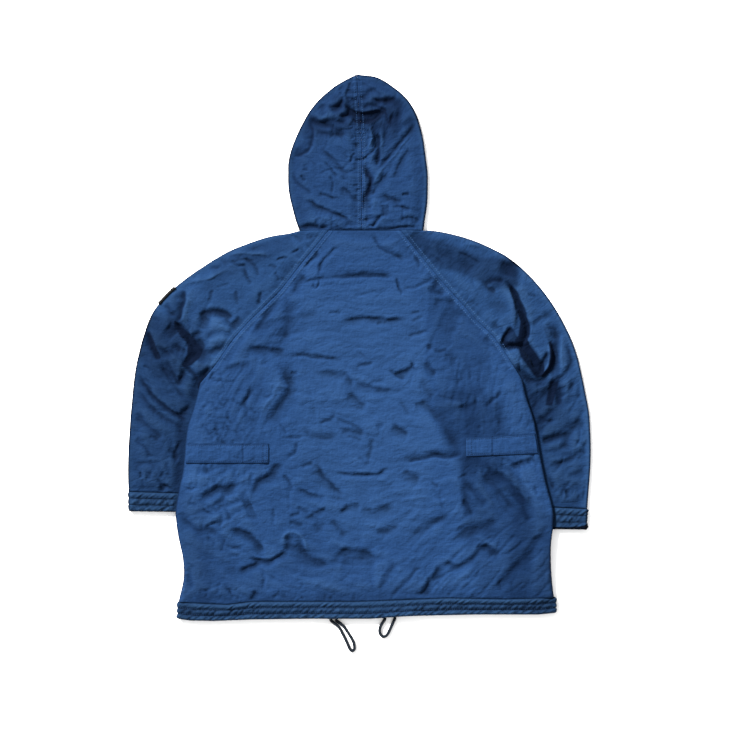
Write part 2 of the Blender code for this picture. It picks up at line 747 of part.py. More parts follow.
def smooth_route(route, count):
    """Return evenly spread points on a smooth curve through a route's points."""
    knots = np.array([(x, y, CORD_Z) for x, y in route], dtype=float)
    ends = np.concatenate([[2 * knots[0] - knots[1]], knots, [2 * knots[-1] - knots[-2]]])
    dense = []
    for before, start, end, after in zip(ends[:-3], ends[1:-2], ends[2:-1], ends[3:]):
        for t in np.linspace(0, 1, 12, endpoint=False):
            dense.append(0.5 * (
                2 * start + (end - before) * t
                + (2 * before - 5 * start + 4 * end - after) * t ** 2
                + (3 * start - before - 3 * end + after) * t ** 3))
    dense = np.array([*dense, knots[-1]])
    length = np.concatenate([[0], np.cumsum(np.linalg.norm(np.diff(dense, axis=0), axis=1))])
    spread = np.linspace(0, length[-1], count)
    return np.stack([np.interp(spread, length, dense[:, axis]) for axis in range(3)], axis=1)


def make_cord(name, route, material):
    """Make one loop of the drawcord as a round tube with closed ends."""
    curve = bpy.data.curves.new(name, "CURVE")
    curve.dimensions = "3D"
    curve.bevel_depth = CORD_RADIUS * MM
    curve.bevel_resolution = 2
    curve.use_fill_caps = True
    points = smooth_route(route, CORD_POINTS) * MM
    spline = curve.splines.new("POLY")
    spline.points.add(len(points) - 1)
    for target, point in zip(spline.points, points):
        target.co = (*point, 1.0)
    curve.materials.append(material)
    COLLECTION.objects.link(bpy.data.objects.new(name, curve))


def make_material(name, colour, roughness):
    """Make a plain material with a colour and a roughness."""
    material = bpy.data.materials.new(name)
    material.use_nodes = True
    shader = material.node_tree.nodes["Principled BSDF"]
    shader.inputs["Base Color"].default_value = (*colour, 1.0)
    shader.inputs["Roughness"].default_value = roughness
    shader.inputs["Metallic"].default_value = 0.0
    return material


def make_jacket():
    """Make every piece of the jacket."""
    cloth = make_material("blue_cotton", BLUE, 0.85)
    shade = make_material("blue_cotton_quilted", BLUE_SHADE, 0.85)
    middle = COARSE.index(0.5)
    surface = make_back(cloth)
    make_front("front_left", list(range(middle + 1)), 0, cloth)
    make_front("front_right", list(range(middle, len(COARSE))), -1, cloth)
    make_placket(cloth)
    make_sleeve("sleeve_left", LEFT_SLEEVE, -1, cloth)
    make_sleeve("sleeve_right", RIGHT_SLEEVE, 1, cloth)
    make_cuff("cuff_left", LEFT_SLEEVE, LEFT_CUFF_FOOT, -1, shade)
    make_cuff("cuff_right", RIGHT_SLEEVE, RIGHT_CUFF_FOOT, 1, shade)
    make_hem_band(shade)
    make_hood("hood_left", LEFT_HOOD, -1, cloth)
    make_hood("hood_right", RIGHT_HOOD, 1, cloth)
    extra = 2  # the two rounding columns that each side of the surface has more than FINE
    left_end = FINE.index(LEFT_CASING_END) + extra
    right_end = FINE.index(RIGHT_CASING_END) + extra
    last = surface.shape[1] - 1
    make_casing("waist_casing_left", surface, list(range(extra, left_end + 1)), cloth)
    make_casing("waist_casing_right", surface, list(range(right_end, last - extra + 1)), cloth)
    make_tab(make_material("black_tab", BLACK, 0.7))
    cord = make_material("navy_cord", NAVY, 0.8)
    make_cord("hem_cord_left", LEFT_CORD_ROUTE, cord)
    make_cord("hem_cord_right", RIGHT_CORD_ROUTE, cord)


for old in list(bpy.data.objects):
    bpy.data.objects.remove(old, do_unlink=True)
COLLECTION = bpy.data.collections.new("hooded_jacket")
bpy.context.scene.collection.children.link(COLLECTION)
make_jacket()
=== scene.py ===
# %% [markdown]
# # A hooded jacket, laid flat on its front
# This lesson dresses a set of plain solids as a padded cotton jacket that lies with
# its back up. The solids fix every size and place. Here each cloth piece is made
# again as a fine grid with its real creases, seams, stitches and weave.

# %% Load the frame
import math

import bpy
import numpy as np
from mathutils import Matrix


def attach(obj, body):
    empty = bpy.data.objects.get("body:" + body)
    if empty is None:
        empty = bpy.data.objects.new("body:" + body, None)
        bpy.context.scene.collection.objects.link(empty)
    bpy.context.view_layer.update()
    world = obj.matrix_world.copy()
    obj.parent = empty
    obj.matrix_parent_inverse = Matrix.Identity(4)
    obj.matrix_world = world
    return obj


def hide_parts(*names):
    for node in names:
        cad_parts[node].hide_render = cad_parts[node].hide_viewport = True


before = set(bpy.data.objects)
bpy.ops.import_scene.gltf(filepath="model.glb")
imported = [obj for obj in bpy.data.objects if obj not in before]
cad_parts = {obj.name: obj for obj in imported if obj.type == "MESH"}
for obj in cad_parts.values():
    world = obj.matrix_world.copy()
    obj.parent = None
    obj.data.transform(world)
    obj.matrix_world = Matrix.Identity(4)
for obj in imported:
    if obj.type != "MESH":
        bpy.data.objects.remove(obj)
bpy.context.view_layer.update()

MM = 0.001

# %% [markdown]
# ## Camera, light and floor
# The jacket is seen from straight above, from 3 m. A wide soft lamp beyond the
# upper left corner rakes over the cloth, so that each crease has a dark and a light
# side. A white surround fills the shadows, as a white room does.

# %% Camera, lamps and floor
CAMERA_PLACE = (0.0312, -0.054, 3.0)
CAMERA_LENS = 72.0          # with a 36 mm sensor the view is 1.5 m wide at the floor
SURROUND = (1.0, 1.0, 1.0)
SURROUND_STRENGTH = 1.25
FLOOR_COLOUR = (0.90, 0.90, 0.90)
FLOOR_HALF = 6.0


def add_camera():
    """Put the camera above the jacket, looking straight down."""
    data = bpy.data.cameras.new("camera")
    data.lens = CAMERA_LENS
    data.sensor_width = 36.0
    camera = bpy.data.objects.new("camera", data)
    camera.location = CAMERA_PLACE
    bpy.context.scene.collection.objects.link(camera)
    bpy.context.scene.camera = camera


def add_lamp(name, azimuth, elevation, spread, power):
    """Add a far wide lamp: the light comes from an azimuth, from +X, and an elevation."""
    data = bpy.data.lights.new(name, "SUN")
    data.angle = math.radians(spread)
    data.energy = power
    lamp = bpy.data.objects.new(name, data)
    lamp.rotation_euler = (0.0, math.radians(90.0 - elevation), math.radians(azimuth))
    bpy.context.scene.collection.objects.link(lamp)


def add_surround():
    """Light the scene evenly from all sides with a white world."""
    world = bpy.data.worlds.new("white_room")
    world.use_nodes = True
    background = world.node_tree.nodes["Background"]
    background.inputs["Color"].default_value = (*SURROUND, 1.0)
    background.inputs["Strength"].default_value = SURROUND_STRENGTH
    bpy.context.scene.world = world


def add_floor():
    """Add the plain pale floor."""
    h = FLOOR_HALF
    mesh = bpy.data.meshes.new("floor")
    mesh.from_pydata([(-h, -h, 0), (h, -h, 0), (h, h, 0), (-h, h, 0)], [], [(0, 1, 2, 3)])
    floor = bpy.data.objects.new("floor", mesh)
    material = bpy.data.materials.new("pale_floor")
    material.use_nodes = True
    shader = material.node_tree.nodes["Principled BSDF"]
    shader.inputs["Base Color"].default_value = (*FLOOR_COLOUR, 1.0)
    shader.inputs["Roughness"].default_value = 0.9
    shader.inputs["Specular IOR Level"].default_value = 0.1
    mesh.materials.append(material)
    bpy.context.scene.collection.objects.link(floor)


add_camera()
add_surround()
add_floor()
add_lamp("key", azimuth=128.0, elevation=31.0, spread=12.0, power=20.2)
bpy.context.scene.view_settings.view_transform = "Standard"
print("camera at", CAMERA_PLACE)

# %% [markdown]
# ## Curves on whole arrays
# Everything below is a function of x and y, worked out for a whole grid of points
# at once. A seam is a smooth curve through a few measured points, and most shapes
# depend only on how far a point is from a seam or an edge.

# %% Curves
def smooth(value):
    """0 to 1 as the value goes from 0 to 1, by 3t^2 - 2t^3, level at both ends."""
    value = np.clip(value, 0.0, 1.0)
    return value * value * (3.0 - 2.0 * value)


def bell(value, width):
    """A bell curve, e^-(value/width)^2: 1 at 0, and 0.37 one width away."""
    return np.exp(-(value / width) ** 2)


def quarter(share):
    """A quarter circle: it leaves 0 steeply and is level when it reaches 1."""
    return np.sqrt(1 - (1 - np.clip(share, 0.0, 1.0)) ** 2)


def below(y, level, run):
    """0 above a level and 1 once a run below it."""
    return smooth((level - y) / run)


def unit(vectors):
    """The same directions, each with a length of 1."""
    return vectors / np.linalg.norm(vectors, axis=1)[:, None]


def run_along(line):
    """How far along a line each of its points is."""
    return np.concatenate([[0.0], np.cumsum(np.linalg.norm(np.diff(line, axis=0), axis=1))])


def path(points, at):
    """A cubic through all the points; at counts them, 0 at the first and 1 at the second.

    Between two points the curve leaves along the line that joins their neighbours.
    """
    points = np.asarray(points, dtype=float)
    ends = np.concatenate([[2 * points[0] - points[1]], points, [2 * points[-1] - points[-2]]])
    at = np.clip(np.asarray(at, dtype=float), 0.0, len(points) - 1.0)
    first = np.minimum(at.astype(int), len(points) - 2)
    t = (at - first)[:, None]
    a, b, c, d = (ends[first + k] for k in range(4))
    return 0.5 * (2 * b + (c - a) * t + (2 * a - 5 * b + 4 * c - d) * t**2
                  + (3 * b - a - 3 * c + d) * t**3)


def curve_of(points, steps=6):
    """A dense smooth curve through a table's points."""
    return path(points, np.linspace(0, len(points) - 1, steps * (len(points) - 1) + 1))


def even_points(line, count):
    """Points evenly spread along a line."""
    run = run_along(line)
    spread = np.linspace(0, run[-1], count)
    return np.stack([np.interp(spread, run, part) for part in line.T], axis=1)


def near(x, y, line):
    """Each point's distance to a line, how far along the line that is, and its signed side.

    The side is the cross product of the line's nearest step with the way to the point.
    """
    best = np.full(np.shape(x), np.inf)
    along, side = np.zeros(np.shape(x)), np.zeros(np.shape(x))
    start = 0.0
    for (ax, ay), (bx, by) in zip(line[:-1], line[1:]):
        rx, ry = bx - ax, by - ay
        length = max(math.hypot(rx, ry), 1e-6)
        t = np.clip(((x - ax) * rx + (y - ay) * ry) / length**2, 0.0, 1.0)
        dx, dy = x - ax - t * rx, y - ay - t * ry
        away = np.hypot(dx, dy)
        nearer = away < best
        best = np.where(nearer, away, best)
        along = np.where(nearer, start + t * length, along)
        side = np.where(nearer, rx * dy - ry * dx, side)
        start += length
    return best, along, side


def outline_distance(x, y, outline):
    """Distance from each point to a closed outline, 0 inside it."""
    ring = list(outline) + [outline[0]]
    inside = np.zeros(np.shape(x), dtype=bool)
    nearest = np.full(np.shape(x), np.inf)
    for (ax, ay), (bx, by) in zip(ring[:-1], ring[1:]):
        if ay != by:
            crosses = (y > min(ay, by)) & (y <= max(ay, by))
            inside ^= crosses & (x < ax + (y - ay) * (bx - ax) / (by - ay))
        rx, ry = bx - ax, by - ay
        t = np.clip(((x - ax) * rx + (y - ay) * ry) / max(rx * rx + ry * ry, 1e-9), 0.0, 1.0)
        nearest = np.minimum(nearest, (x - ax - t * rx) ** 2 + (y - ay - t * ry) ** 2)
    return np.where(inside, 0.0, np.sqrt(nearest))


arch = even_points(curve_of([(0, 0), (1, 1), (2, 0)]), 5)
print("an arch through 3 points, cut into 4 even parts:", arch.round(2).tolist())

# %% [markdown]
# Cloth also needs chance. Gradient noise gives soft swells, and the difference of two
# folded noises gives the sharp little facets of crumpled cotton. Each noise has its
# own seed, so the jacket comes out the same every time.

# %% Noise
NOISE_CELLS = 64


def noise(x, y, size_x, size_y, seed):
    """Gradient noise, about -1 to 1.

    Each point of a lattice has a random slope, and 6t^5 - 15t^4 + 10t^3 blends them.
    """
    turn = np.random.default_rng(seed).uniform(0, 2 * math.pi, (NOISE_CELLS, NOISE_CELLS))
    slope_x, slope_y = np.cos(turn), np.sin(turn)
    px, py = x / size_x, y / size_y
    i, j = np.floor(px).astype(int), np.floor(py).astype(int)
    fx, fy = px - i, py - j
    u, v = (f * f * f * (f * (6 * f - 15) + 10) for f in (fx, fy))

    def corner(di, dj):
        """One corner's slope times the way from it."""
        k, m = (i + di) % NOISE_CELLS, (j + dj) % NOISE_CELLS
        return slope_x[k, m] * (fx - di) + slope_y[k, m] * (fy - dj)

    low = corner(0, 0) * (1 - u) + corner(1, 0) * u
    high = corner(0, 1) * (1 - u) + corner(1, 1) * u
    return 1.6 * (low * (1 - v) + high * v)


def crumple(x, y, size, seed, turn=0.0, stretch=1.0):
    """Facets: the size of one noise less the size of another, on gently warped points."""
    angle = math.radians(turn)
    u = (x * math.cos(angle) + y * math.sin(angle)) / stretch
    v = y * math.cos(angle) - x * math.sin(angle)
    u, v = (u + 0.5 * size * noise(u, v, 2.2 * size, 2.2 * size, seed + 1),
            v + 0.5 * size * noise(u, v, 2.2 * size, 2.2 * size, seed + 2))
    return np.abs(noise(u, v, size, size, seed + 3)) - np.abs(noise(u, v, size, size, seed + 4))


def blur(grid, reach):
    """Average each value with its neighbours, weighed by a bell curve, along both ways."""
    taps = np.exp(-0.5 * (np.arange(-2 * reach, 2 * reach + 1) / reach) ** 2)
    taps /= taps.sum()
    for axis in (0, 1):
        pad = [(2 * reach, 2 * reach) if k == axis else (0, 0) for k in (0, 1)]
        wide = np.pad(grid, pad, mode="edge")
        count = grid.shape[axis]
        grid = sum(w * np.take(wide, np.arange(k, k + count), axis=axis)
                   for k, w in enumerate(taps))
    return grid


diagonal = np.linspace(0, 9, 50)
sample = noise(diagonal, diagonal, 1, 1, 1)
print(f"a line of noise goes from {sample.min():.2f} to {sample.max():.2f}")

# %% [markdown]
# ## Creases
# A crease is a V-shaped trough along a curved route, with its two sides of unlike
# width, ends that fade out, and a low lip where the pushed cloth gathers. The bottom
# of a deep crease also gets a painted shade, darker than its trough alone makes it.
# Creases are drawn in drawing units of 2 mm with x to the right and y down,
# because that is how the eye reads them off a garment. Chance only adds the small ones.

# %% Creases
DRAWING_UNIT = 2.0
DRAWING_ORIGIN = (359.0, 348.0)   # where the frame's origin is on the drawing
CREASE_SOFT = 0.6                 # rounding at the bottom of a trough, mm
CREASE_REACH = 4.5                # widths, past which a crease ends
TROUGH = 2.4                      # widths from the route to the top of its trough
LIP_PLACE = 2.3                   # widths from the route to the lip's top
LIP_WIDTH = 1.3
LIP_SHARE = 0.35                  # how much of each lip is left, since the cloth was pressed
FACET = 4.0                       # a side wider than this is a flat facet
CREASE_END = 0.22                 # share of a route over which its ends fade
# painted shade at the bottoms of deep creases:
CREASE_SHADE_FREE = 1.5                    # depth that leaves no mark, mm
CREASE_SHADE_SHARE = 0.14                  # darkness for each millimetre of depth past that
CREASE_SHADE_WIDTH = 3.4                   # reach of the mark, mm
CREASE_SHADE_MOST = 0.85
CREASE_SHADE_NARROW = 6.0                  # a crease with both sides wider than this has none


def drawn(values):
    """Turn drawing coordinates in one flat list into points in millimetres."""
    points = np.asarray(values, dtype=float).reshape(-1, 2)
    return np.stack([(points[:, 0] - DRAWING_ORIGIN[0]) * DRAWING_UNIT,
                     (DRAWING_ORIGIN[1] - points[:, 1]) * DRAWING_UNIT], axis=1)


def crease_parts(x, y, creases):
    """For each crease: its row and, for the points near it, index, distance, side and share run.

    Noise shifts the points a little first, so that no crease runs like a ruled line.
    """
    x, y = (v + 1.5 * noise(x, y, 17.0, 17.0, seed) + 0.7 * noise(x, y, 7.5, 7.5, seed + 1)
            for v, seed in ((x, 91), (y, 95)))
    for row in creases:
        route, reach = row[4], CREASE_REACH * max(row[1], row[2])
        (low_x, low_y), (high_x, high_y) = route.min(axis=0) - reach, route.max(axis=0) + reach
        spots = np.flatnonzero((x > low_x) & (x < high_x) & (y > low_y) & (y < high_y))
        if not spots.size:
            continue
        best, along, side = near(x[spots], y[spots], route)
        lengths = np.linalg.norm(np.diff(route, axis=0), axis=1)
        yield row, spots, best, side / lengths.mean(), along / lengths.sum()


def crease_end(part):
    """A crease's strength along its route: full in the middle, fading at both ends."""
    return smooth(part / CREASE_END) * smooth((1.0 - part) / CREASE_END)


def crease_heights(x, y, creases):
    """Add up the creases at each point.

    Each has depth, width on the left and on the right of its direction, lip height and
    route. Its trough is depth times a power of (1 - distance / 2.4 widths): the
    square for a narrow side, almost straight for a wide one, which makes a flat facet.
    Noise also changes the depth along the route.
    """
    shape, x, y = np.shape(x), np.ravel(x), np.ravel(y)
    uneven = 1.0 + 0.35 * noise(x, y, 24.0, 24.0, 97)
    height = np.zeros(x.size)
    for (depth, left, right, lip, _), spots, best, side, part in crease_parts(x, y, creases):
        width = left + (right - left) * smooth(0.5 - 0.5 * side / CREASE_SOFT)
        window = np.clip(1.0 - (best / (CREASE_REACH * width)) ** 2, 0.0, 1.0) ** 2
        away = np.hypot(best, CREASE_SOFT) - CREASE_SOFT
        power = np.where(width > FACET, 1.25, 2.0)
        trough = np.clip(1.0 - away / (TROUGH * width), 0.0, 1.0) ** power
        bank = bell(best / width - LIP_PLACE, LIP_WIDTH)
        height[spots] += crease_end(part) * window * (LIP_SHARE * lip * bank - depth * trough)
    return (height * uneven).reshape(shape)


def painted_crease_shade(x, y, creases):
    """Painted shade at the bottoms of the deep creases: in step with depth, and gone 7 mm away."""
    shape, x, y = np.shape(x), np.ravel(x), np.ravel(y)
    crease_shade = np.zeros(x.size)
    for (depth, left, right, _, _), spots, best, _, part in crease_parts(x, y, creases):
        sharp = np.clip((CREASE_SHADE_NARROW - min(left, right)) / 1.5, 0.0, 1.0)
        if depth > 0 and sharp > 0:
            fade = crease_end(part)
            strength = CREASE_SHADE_SHARE * sharp * np.clip(depth * fade - CREASE_SHADE_FREE, 0.0, None)
            line = strength * np.exp(-(best / (CREASE_SHADE_WIDTH * (0.6 + 0.4 * fade))) ** 1.5)
            crease_shade[spots] = np.maximum(crease_shade[spots], line)
    return np.minimum(crease_shade, CREASE_SHADE_MOST).reshape(shape)


def hand_creases(table):
    """Smooth each drawn route with a cubic and turn it into millimetres."""
    made = []
    for depth, left, right, lip, *values in table:
        made.append((depth, left, right, lip, curve_of(drawn(values), 4)))
    return made


LEAN_WAY = (-0.6, 0.8)            # up and towards the wearer's left shoulder


def lean(creases, short, long, least, depth=1.0):
    """Make deep creases with two like sides lean: short towards LEAN_WAY, long beyond."""
    made = []
    for deep, left, right, lip, route in creases:
        if deep >= least and max(left, right) < 2 * min(left, right):
            run = route[-1] - route[0]
            width = min(left, right)
            left, right = short * width, long * width
            if LEAN_WAY[1] * run[0] - LEAN_WAY[0] * run[1] < 0:
                left, right = right, left
            deep *= depth
        made.append((deep, left, right, lip, route))
    return made


def chance_creases(seed, table):
    """Scatter small creases: each row of the table fills one box of the drawing."""
    rng = np.random.default_rng(seed)
    made = []
    for count, x0, x1, y0, y1, turn, spread, shortest, longest, depth, width in table:
        for _ in range(count):
            middle = drawn((rng.uniform(x0, x1), rng.uniform(y0, y1)))[0]
            angle = math.radians(rng.normal(turn, spread))
            length = shortest + (longest - shortest) * rng.random() ** 2
            along = np.array([math.cos(angle), math.sin(angle)])
            across = np.array([-along[1], along[0]])
            bend = rng.uniform(-0.16, 0.16) * length
            at = np.linspace(-0.5, 0.5, 5)
            bow = np.outer(bend * (1 - 4 * at**2), across)
            route = middle + np.outer(at * length, along) + bow
            w = width * rng.uniform(0.7, 1.4)
            deep = depth * rng.uniform(0.35, 1.15)
            sides = (w, w * 1.8) if rng.random() < 0.5 else (w * 1.8, w)
            made.append((deep, *sides, 0.35 * deep, route))
    return made


print("the frame's origin on the drawing:", drawn(DRAWING_ORIGIN))

# %% [markdown]
# ## The cut of the jacket
# These are the pattern's own measures in millimetres: the raglan sleeves a row a
# section, the body's sides, the hem, the cuffs and the hood. They are the same as
# the solids', so each fine piece lies exactly where its solid does.

# %% Measures
WALL = 5.0             # shell, wadding and lining at the seams
LOFT = 4.0             # what the wadding adds away from the seams
GAP = 0.3              # between two layers
SEAM = 0.2             # from a seam's line to each piece
UPPER = WALL + GAP
FOLD = WALL + GAP / 2  # the cloth's outer radius where it folds over
LEAST = 1.6            # the thinnest that a crease may press the cloth
SLEEVE_LIFT = 2 * UPPER
LIFT_HOLD, LIFT_RUN = 38.0, 45.0
PLACKET_LIFT, PLACKET_HOLD = 3.3, 74.0
UNDERARM = 10          # the sleeves' row at the underarm
NECK = 234.0           # the neck seam's y
FREE_Y, FREE_RUN = -40.0, 30.0   # below here the body's sides are free edges
SIDES = ((-1, "left"), (1, "right"))

LEFT_SLEEVE = (
    # inner x, inner y, outer x, outer y
    (-62, 234.0, -120, 234.0), (-86, 203.6, -142, 228.5), (-111, 173.2, -178, 222.5),
    (-135, 142.8, -218, 210.0), (-159, 112.4, -262, 192.0), (-189, 82.0, -306, 166.0),
    (-220, 51.6, -348, 137.0), (-247, 21.2, -386, 104.0), (-269, -9.2, -414, 68.0),
    (-290, -39.6, -431, 24.0), (-316, -70.0, -441, -14.0), (-303, -88.0, -447, -42.0),
    (-283, -108.0, -451, -72.0), (-267, -132.0, -454, -104.0), (-262, -160.0, -457, -136.0),
    (-266, -188.0, -459, -168.0), (-276, -216.0, -461, -200.0), (-290, -243.0, -462, -232.0),
    (-306, -269.0, -462, -262.0), (-320, -291.0, -461, -286.5),
)
RIGHT_SLEEVE = (
    # inner x, inner y, outer x, outer y
    (83, 234.0, 128, 234.0), (106, 204.2, 148, 234.0), (130, 174.4, 184, 227.5),
    (154, 144.6, 224, 216.0), (180, 114.8, 268, 197.0), (207, 85.0, 308, 173.0),
    (233, 55.2, 344, 140.0), (264, 25.4, 374, 104.0), (286, -4.4, 400, 64.0),
    (305, -34.2, 422, 20.0), (324, -64.0, 435, -16.0), (312, -84.0, 441, -40.0),
    (290, -104.0, 447, -68.0), (276, -130.0, 453, -98.0), (272, -162.0, 459, -132.0),
    (278, -194.0, 461, -168.0), (288, -226.0, 462, -204.0), (301, -256.0, 461, -240.0),
    (314, -286.0, 458, -280.0), (323, -315.0, 455, -321.0),
)
LEFT_SIDE = (
    # x, y
    (-316, -70), (-330, -122), (-341, -156), (-346, -192), (-350, -242), (-358, -280),
    (-365, -320), (-364, -350), (-358, -390), (-352, -422), (-351, -460), (-361, -506),
)
RIGHT_SIDE = (
    # x, y
    (324, -64), (332, -98), (348, -148), (360, -216), (371, -268), (385, -322),
    (385, -358), (381, -400), (384, -460), (388, -497),
)
HEM_SEAM = (
    # x, y
    (-361, -506), (-310, -509), (-262, -511), (-214, -505), (-118, -505), (-4, -505),
    (82, -502), (178, -498), (292, -500), (388, -497),
)
HEM_FOOT = (
    # x, y
    (-361, -541), (-338, -544), (-290, -545), (-218, -542), (-74, -540), (22, -540),
    (94, -535), (238, -532), (358, -532), (388, -529),
)
HEM_ENDS = (-363, 392)
LEFT_CUFF_FOOT = (-318, -328, -460, -326)   # inner x, y, outer x, y
RIGHT_CUFF_FOOT = (327, -361, 454, -362.5)
HOOD_SEAM = np.array([(5.0, 234.0), (5.0, 400.0), (-5.0, 546.0)])
LEFT_HOOD = (
    # seam y, fold x, fold y, gap from the lower layer's end to the seam
    (234.0, -120, 234.0, 0.2), (250, -127, 254, 18), (268, -133, 276, 28),
    (286, -138.5, 298, 33), (304, -142, 322, 35), (322, -142.5, 346, 35),
    (340, -142, 370, 35), (358, -137, 393, 35), (374, -128, 417, 34), (388, -116, 443, 33),
    (400, -101, 470, 32), (410, -80, 496, 35), (420, -52, 520, 37), (430, -26, 536, 37),
    (440, -5, 546, 36),
)
RIGHT_HOOD = (
    # seam y, fold x, fold y, gap from the lower layer's end to the seam
    (234.0, 128, 234.0, 0.2), (250, 130.5, 254, 18), (268, 134, 276, 28),
    (286, 136, 298, 33), (304, 136.5, 322, 35), (322, 136.5, 346, 35), (340, 134, 370, 35),
    (358, 131, 393, 35), (374, 127.5, 417, 34), (388, 121.5, 443, 33), (400, 112, 470, 32),
    (410, 96, 496, 35), (420, 72, 518, 37), (430, 36, 540, 37), (440, -5, 546, 36),
)


def under_outline(side):
    """The outline of the part of a sleeve, with its cuff, that is below the underarm."""
    rows, foot = SLEEVE_TABLE[side][UNDERARM:], CUFF_FOOT[side]
    return [*[row[:2] for row in rows], foot[:2], foot[2:], *[row[2:] for row in rows[::-1]]]


SLEEVE_TABLE = {-1: LEFT_SLEEVE, 1: RIGHT_SLEEVE}
HOOD_TABLE = {-1: LEFT_HOOD, 1: RIGHT_HOOD}
CUFF_FOOT = {-1: LEFT_CUFF_FOOT, 1: RIGHT_CUFF_FOOT}
RAGLAN_TABLE = {side: [row[:2] for row in SLEEVE_TABLE[side][:UNDERARM + 1]] for side, _ in SIDES}
RAGLAN = {side: curve_of(RAGLAN_TABLE[side]) for side, _ in SIDES}
EDGE = {-1: curve_of(LEFT_SIDE), 1: curve_of(RIGHT_SIDE)}
UNDER = {side: under_outline(side) for side, _ in SIDES}
BODY_OUTLINE = [*RAGLAN[-1], *EDGE[-1][1:], *EDGE[1][:0:-1], *RAGLAN[1][::-1]]


def line_y(table, x):
    """A named line's y at each x."""
    return np.interp(x, [row[0] for row in table], [row[1] for row in table])


def hem_seam_y(x):
    """The hem seam's y at each x."""
    return line_y(HEM_SEAM, x)


def side_x(side, y):
    """The body's edge at each y: the raglan seam above the underarm, the side below."""
    whole = np.concatenate([RAGLAN[side], EDGE[side][1:]])
    return np.interp(-np.asarray(y, dtype=float), -whole[:, 1], whole[:, 0])


def side_distance(x, y):
    """How far each point is from the nearer edge of the body, across."""
    return np.minimum(x - side_x(-1, y), side_x(1, y) - x)


def centre_x(y):
    """The centre front's x at each y, halfway between the body's edges."""
    return (side_x(-1, y) + side_x(1, y)) / 2


def sleeve_distance(x, y):
    """How far each point is from the sleeves' lower parts, 0 above them."""
    return np.minimum(*(outline_distance(x, y, UNDER[side]) for side, _ in SIDES))


def lift(x, y):
    """How high the body is lifted: full over the sleeves and the flap, smooth beside them."""
    over_sleeve = SLEEVE_LIFT * smooth(1 - (sleeve_distance(x, y) - LIFT_HOLD) / LIFT_RUN)
    aside = np.abs(x - centre_x(y))
    over_placket = PLACKET_LIFT * smooth(1 - (aside - PLACKET_HOLD) / LIFT_RUN)
    return np.maximum(over_sleeve, over_placket)


RISE_HOLD, RISE_RUN = 20.0, 240.0


def rise(x, y):
    """How high the back's outside swells over the layers below, in one long gentle slope."""
    slope = smooth(1 - (sleeve_distance(x, y) - RISE_HOLD) / RISE_RUN)
    return np.maximum(PLACKET_LIFT + (SLEEVE_LIFT - PLACKET_LIFT) * slope, lift(x, y))


for side, name in SIDES:
    print(f"{name} raglan seam: {run_along(RAGLAN[side])[-1]:.0f} mm long")

# %% [markdown]
# ## Cloth as a material
# The shell is a soft plain cotton. From arm's length its weave only dulls the light,
# but three things show: thread slubs, lighter ridges that are worn and carry a painted
# highlight, and hollows with a painted shade. Each piece carries a UV map in metres and two
# numbers:
# relief, the height of a point above its surroundings in millimetres, and tone, which
# is 1 where the painted shade is darkest and -1 where the cloth is palest. So one recipe can
# colour every piece.
#
# Shader maths is written as plain Python sums here: a small class turns each sum into
# the node that does it.

# %% A small language for shader maths
class Value:
    """A number socket that can be added, multiplied and so on in plain Python."""

    def __init__(self, recipe, socket):
        self.recipe, self.socket = recipe, socket

    def _math(self, operation, *values):
        """Add the node that does one sum."""
        return self.recipe.node("ShaderNodeMath", {"operation": operation},
                                dict(enumerate(values)))

    def __add__(self, other):
        return self._math("ADD", self, other)

    def __radd__(self, other):
        return self._math("ADD", other, self)

    def __sub__(self, other):
        return self._math("SUBTRACT", self, other)

    def __rsub__(self, other):
        return self._math("SUBTRACT", other, self)

    def __mul__(self, other):
        return self._math("MULTIPLY", self, other)

    def __rmul__(self, other):
        return self._math("MULTIPLY", other, self)

    def sine(self):
        """The sine of the number, in radians."""
        return self._math("SINE", self)

    def absolute(self):
        """The number without its sign."""
        return self._math("ABSOLUTE", self)

    def between(self, low, high):
        """0 at low and 1 at high, held at those outside them."""
        return self.recipe.node("ShaderNodeMapRange", {"clamp": True},
                                {"Value": self, "From Min": low, "From Max": high})


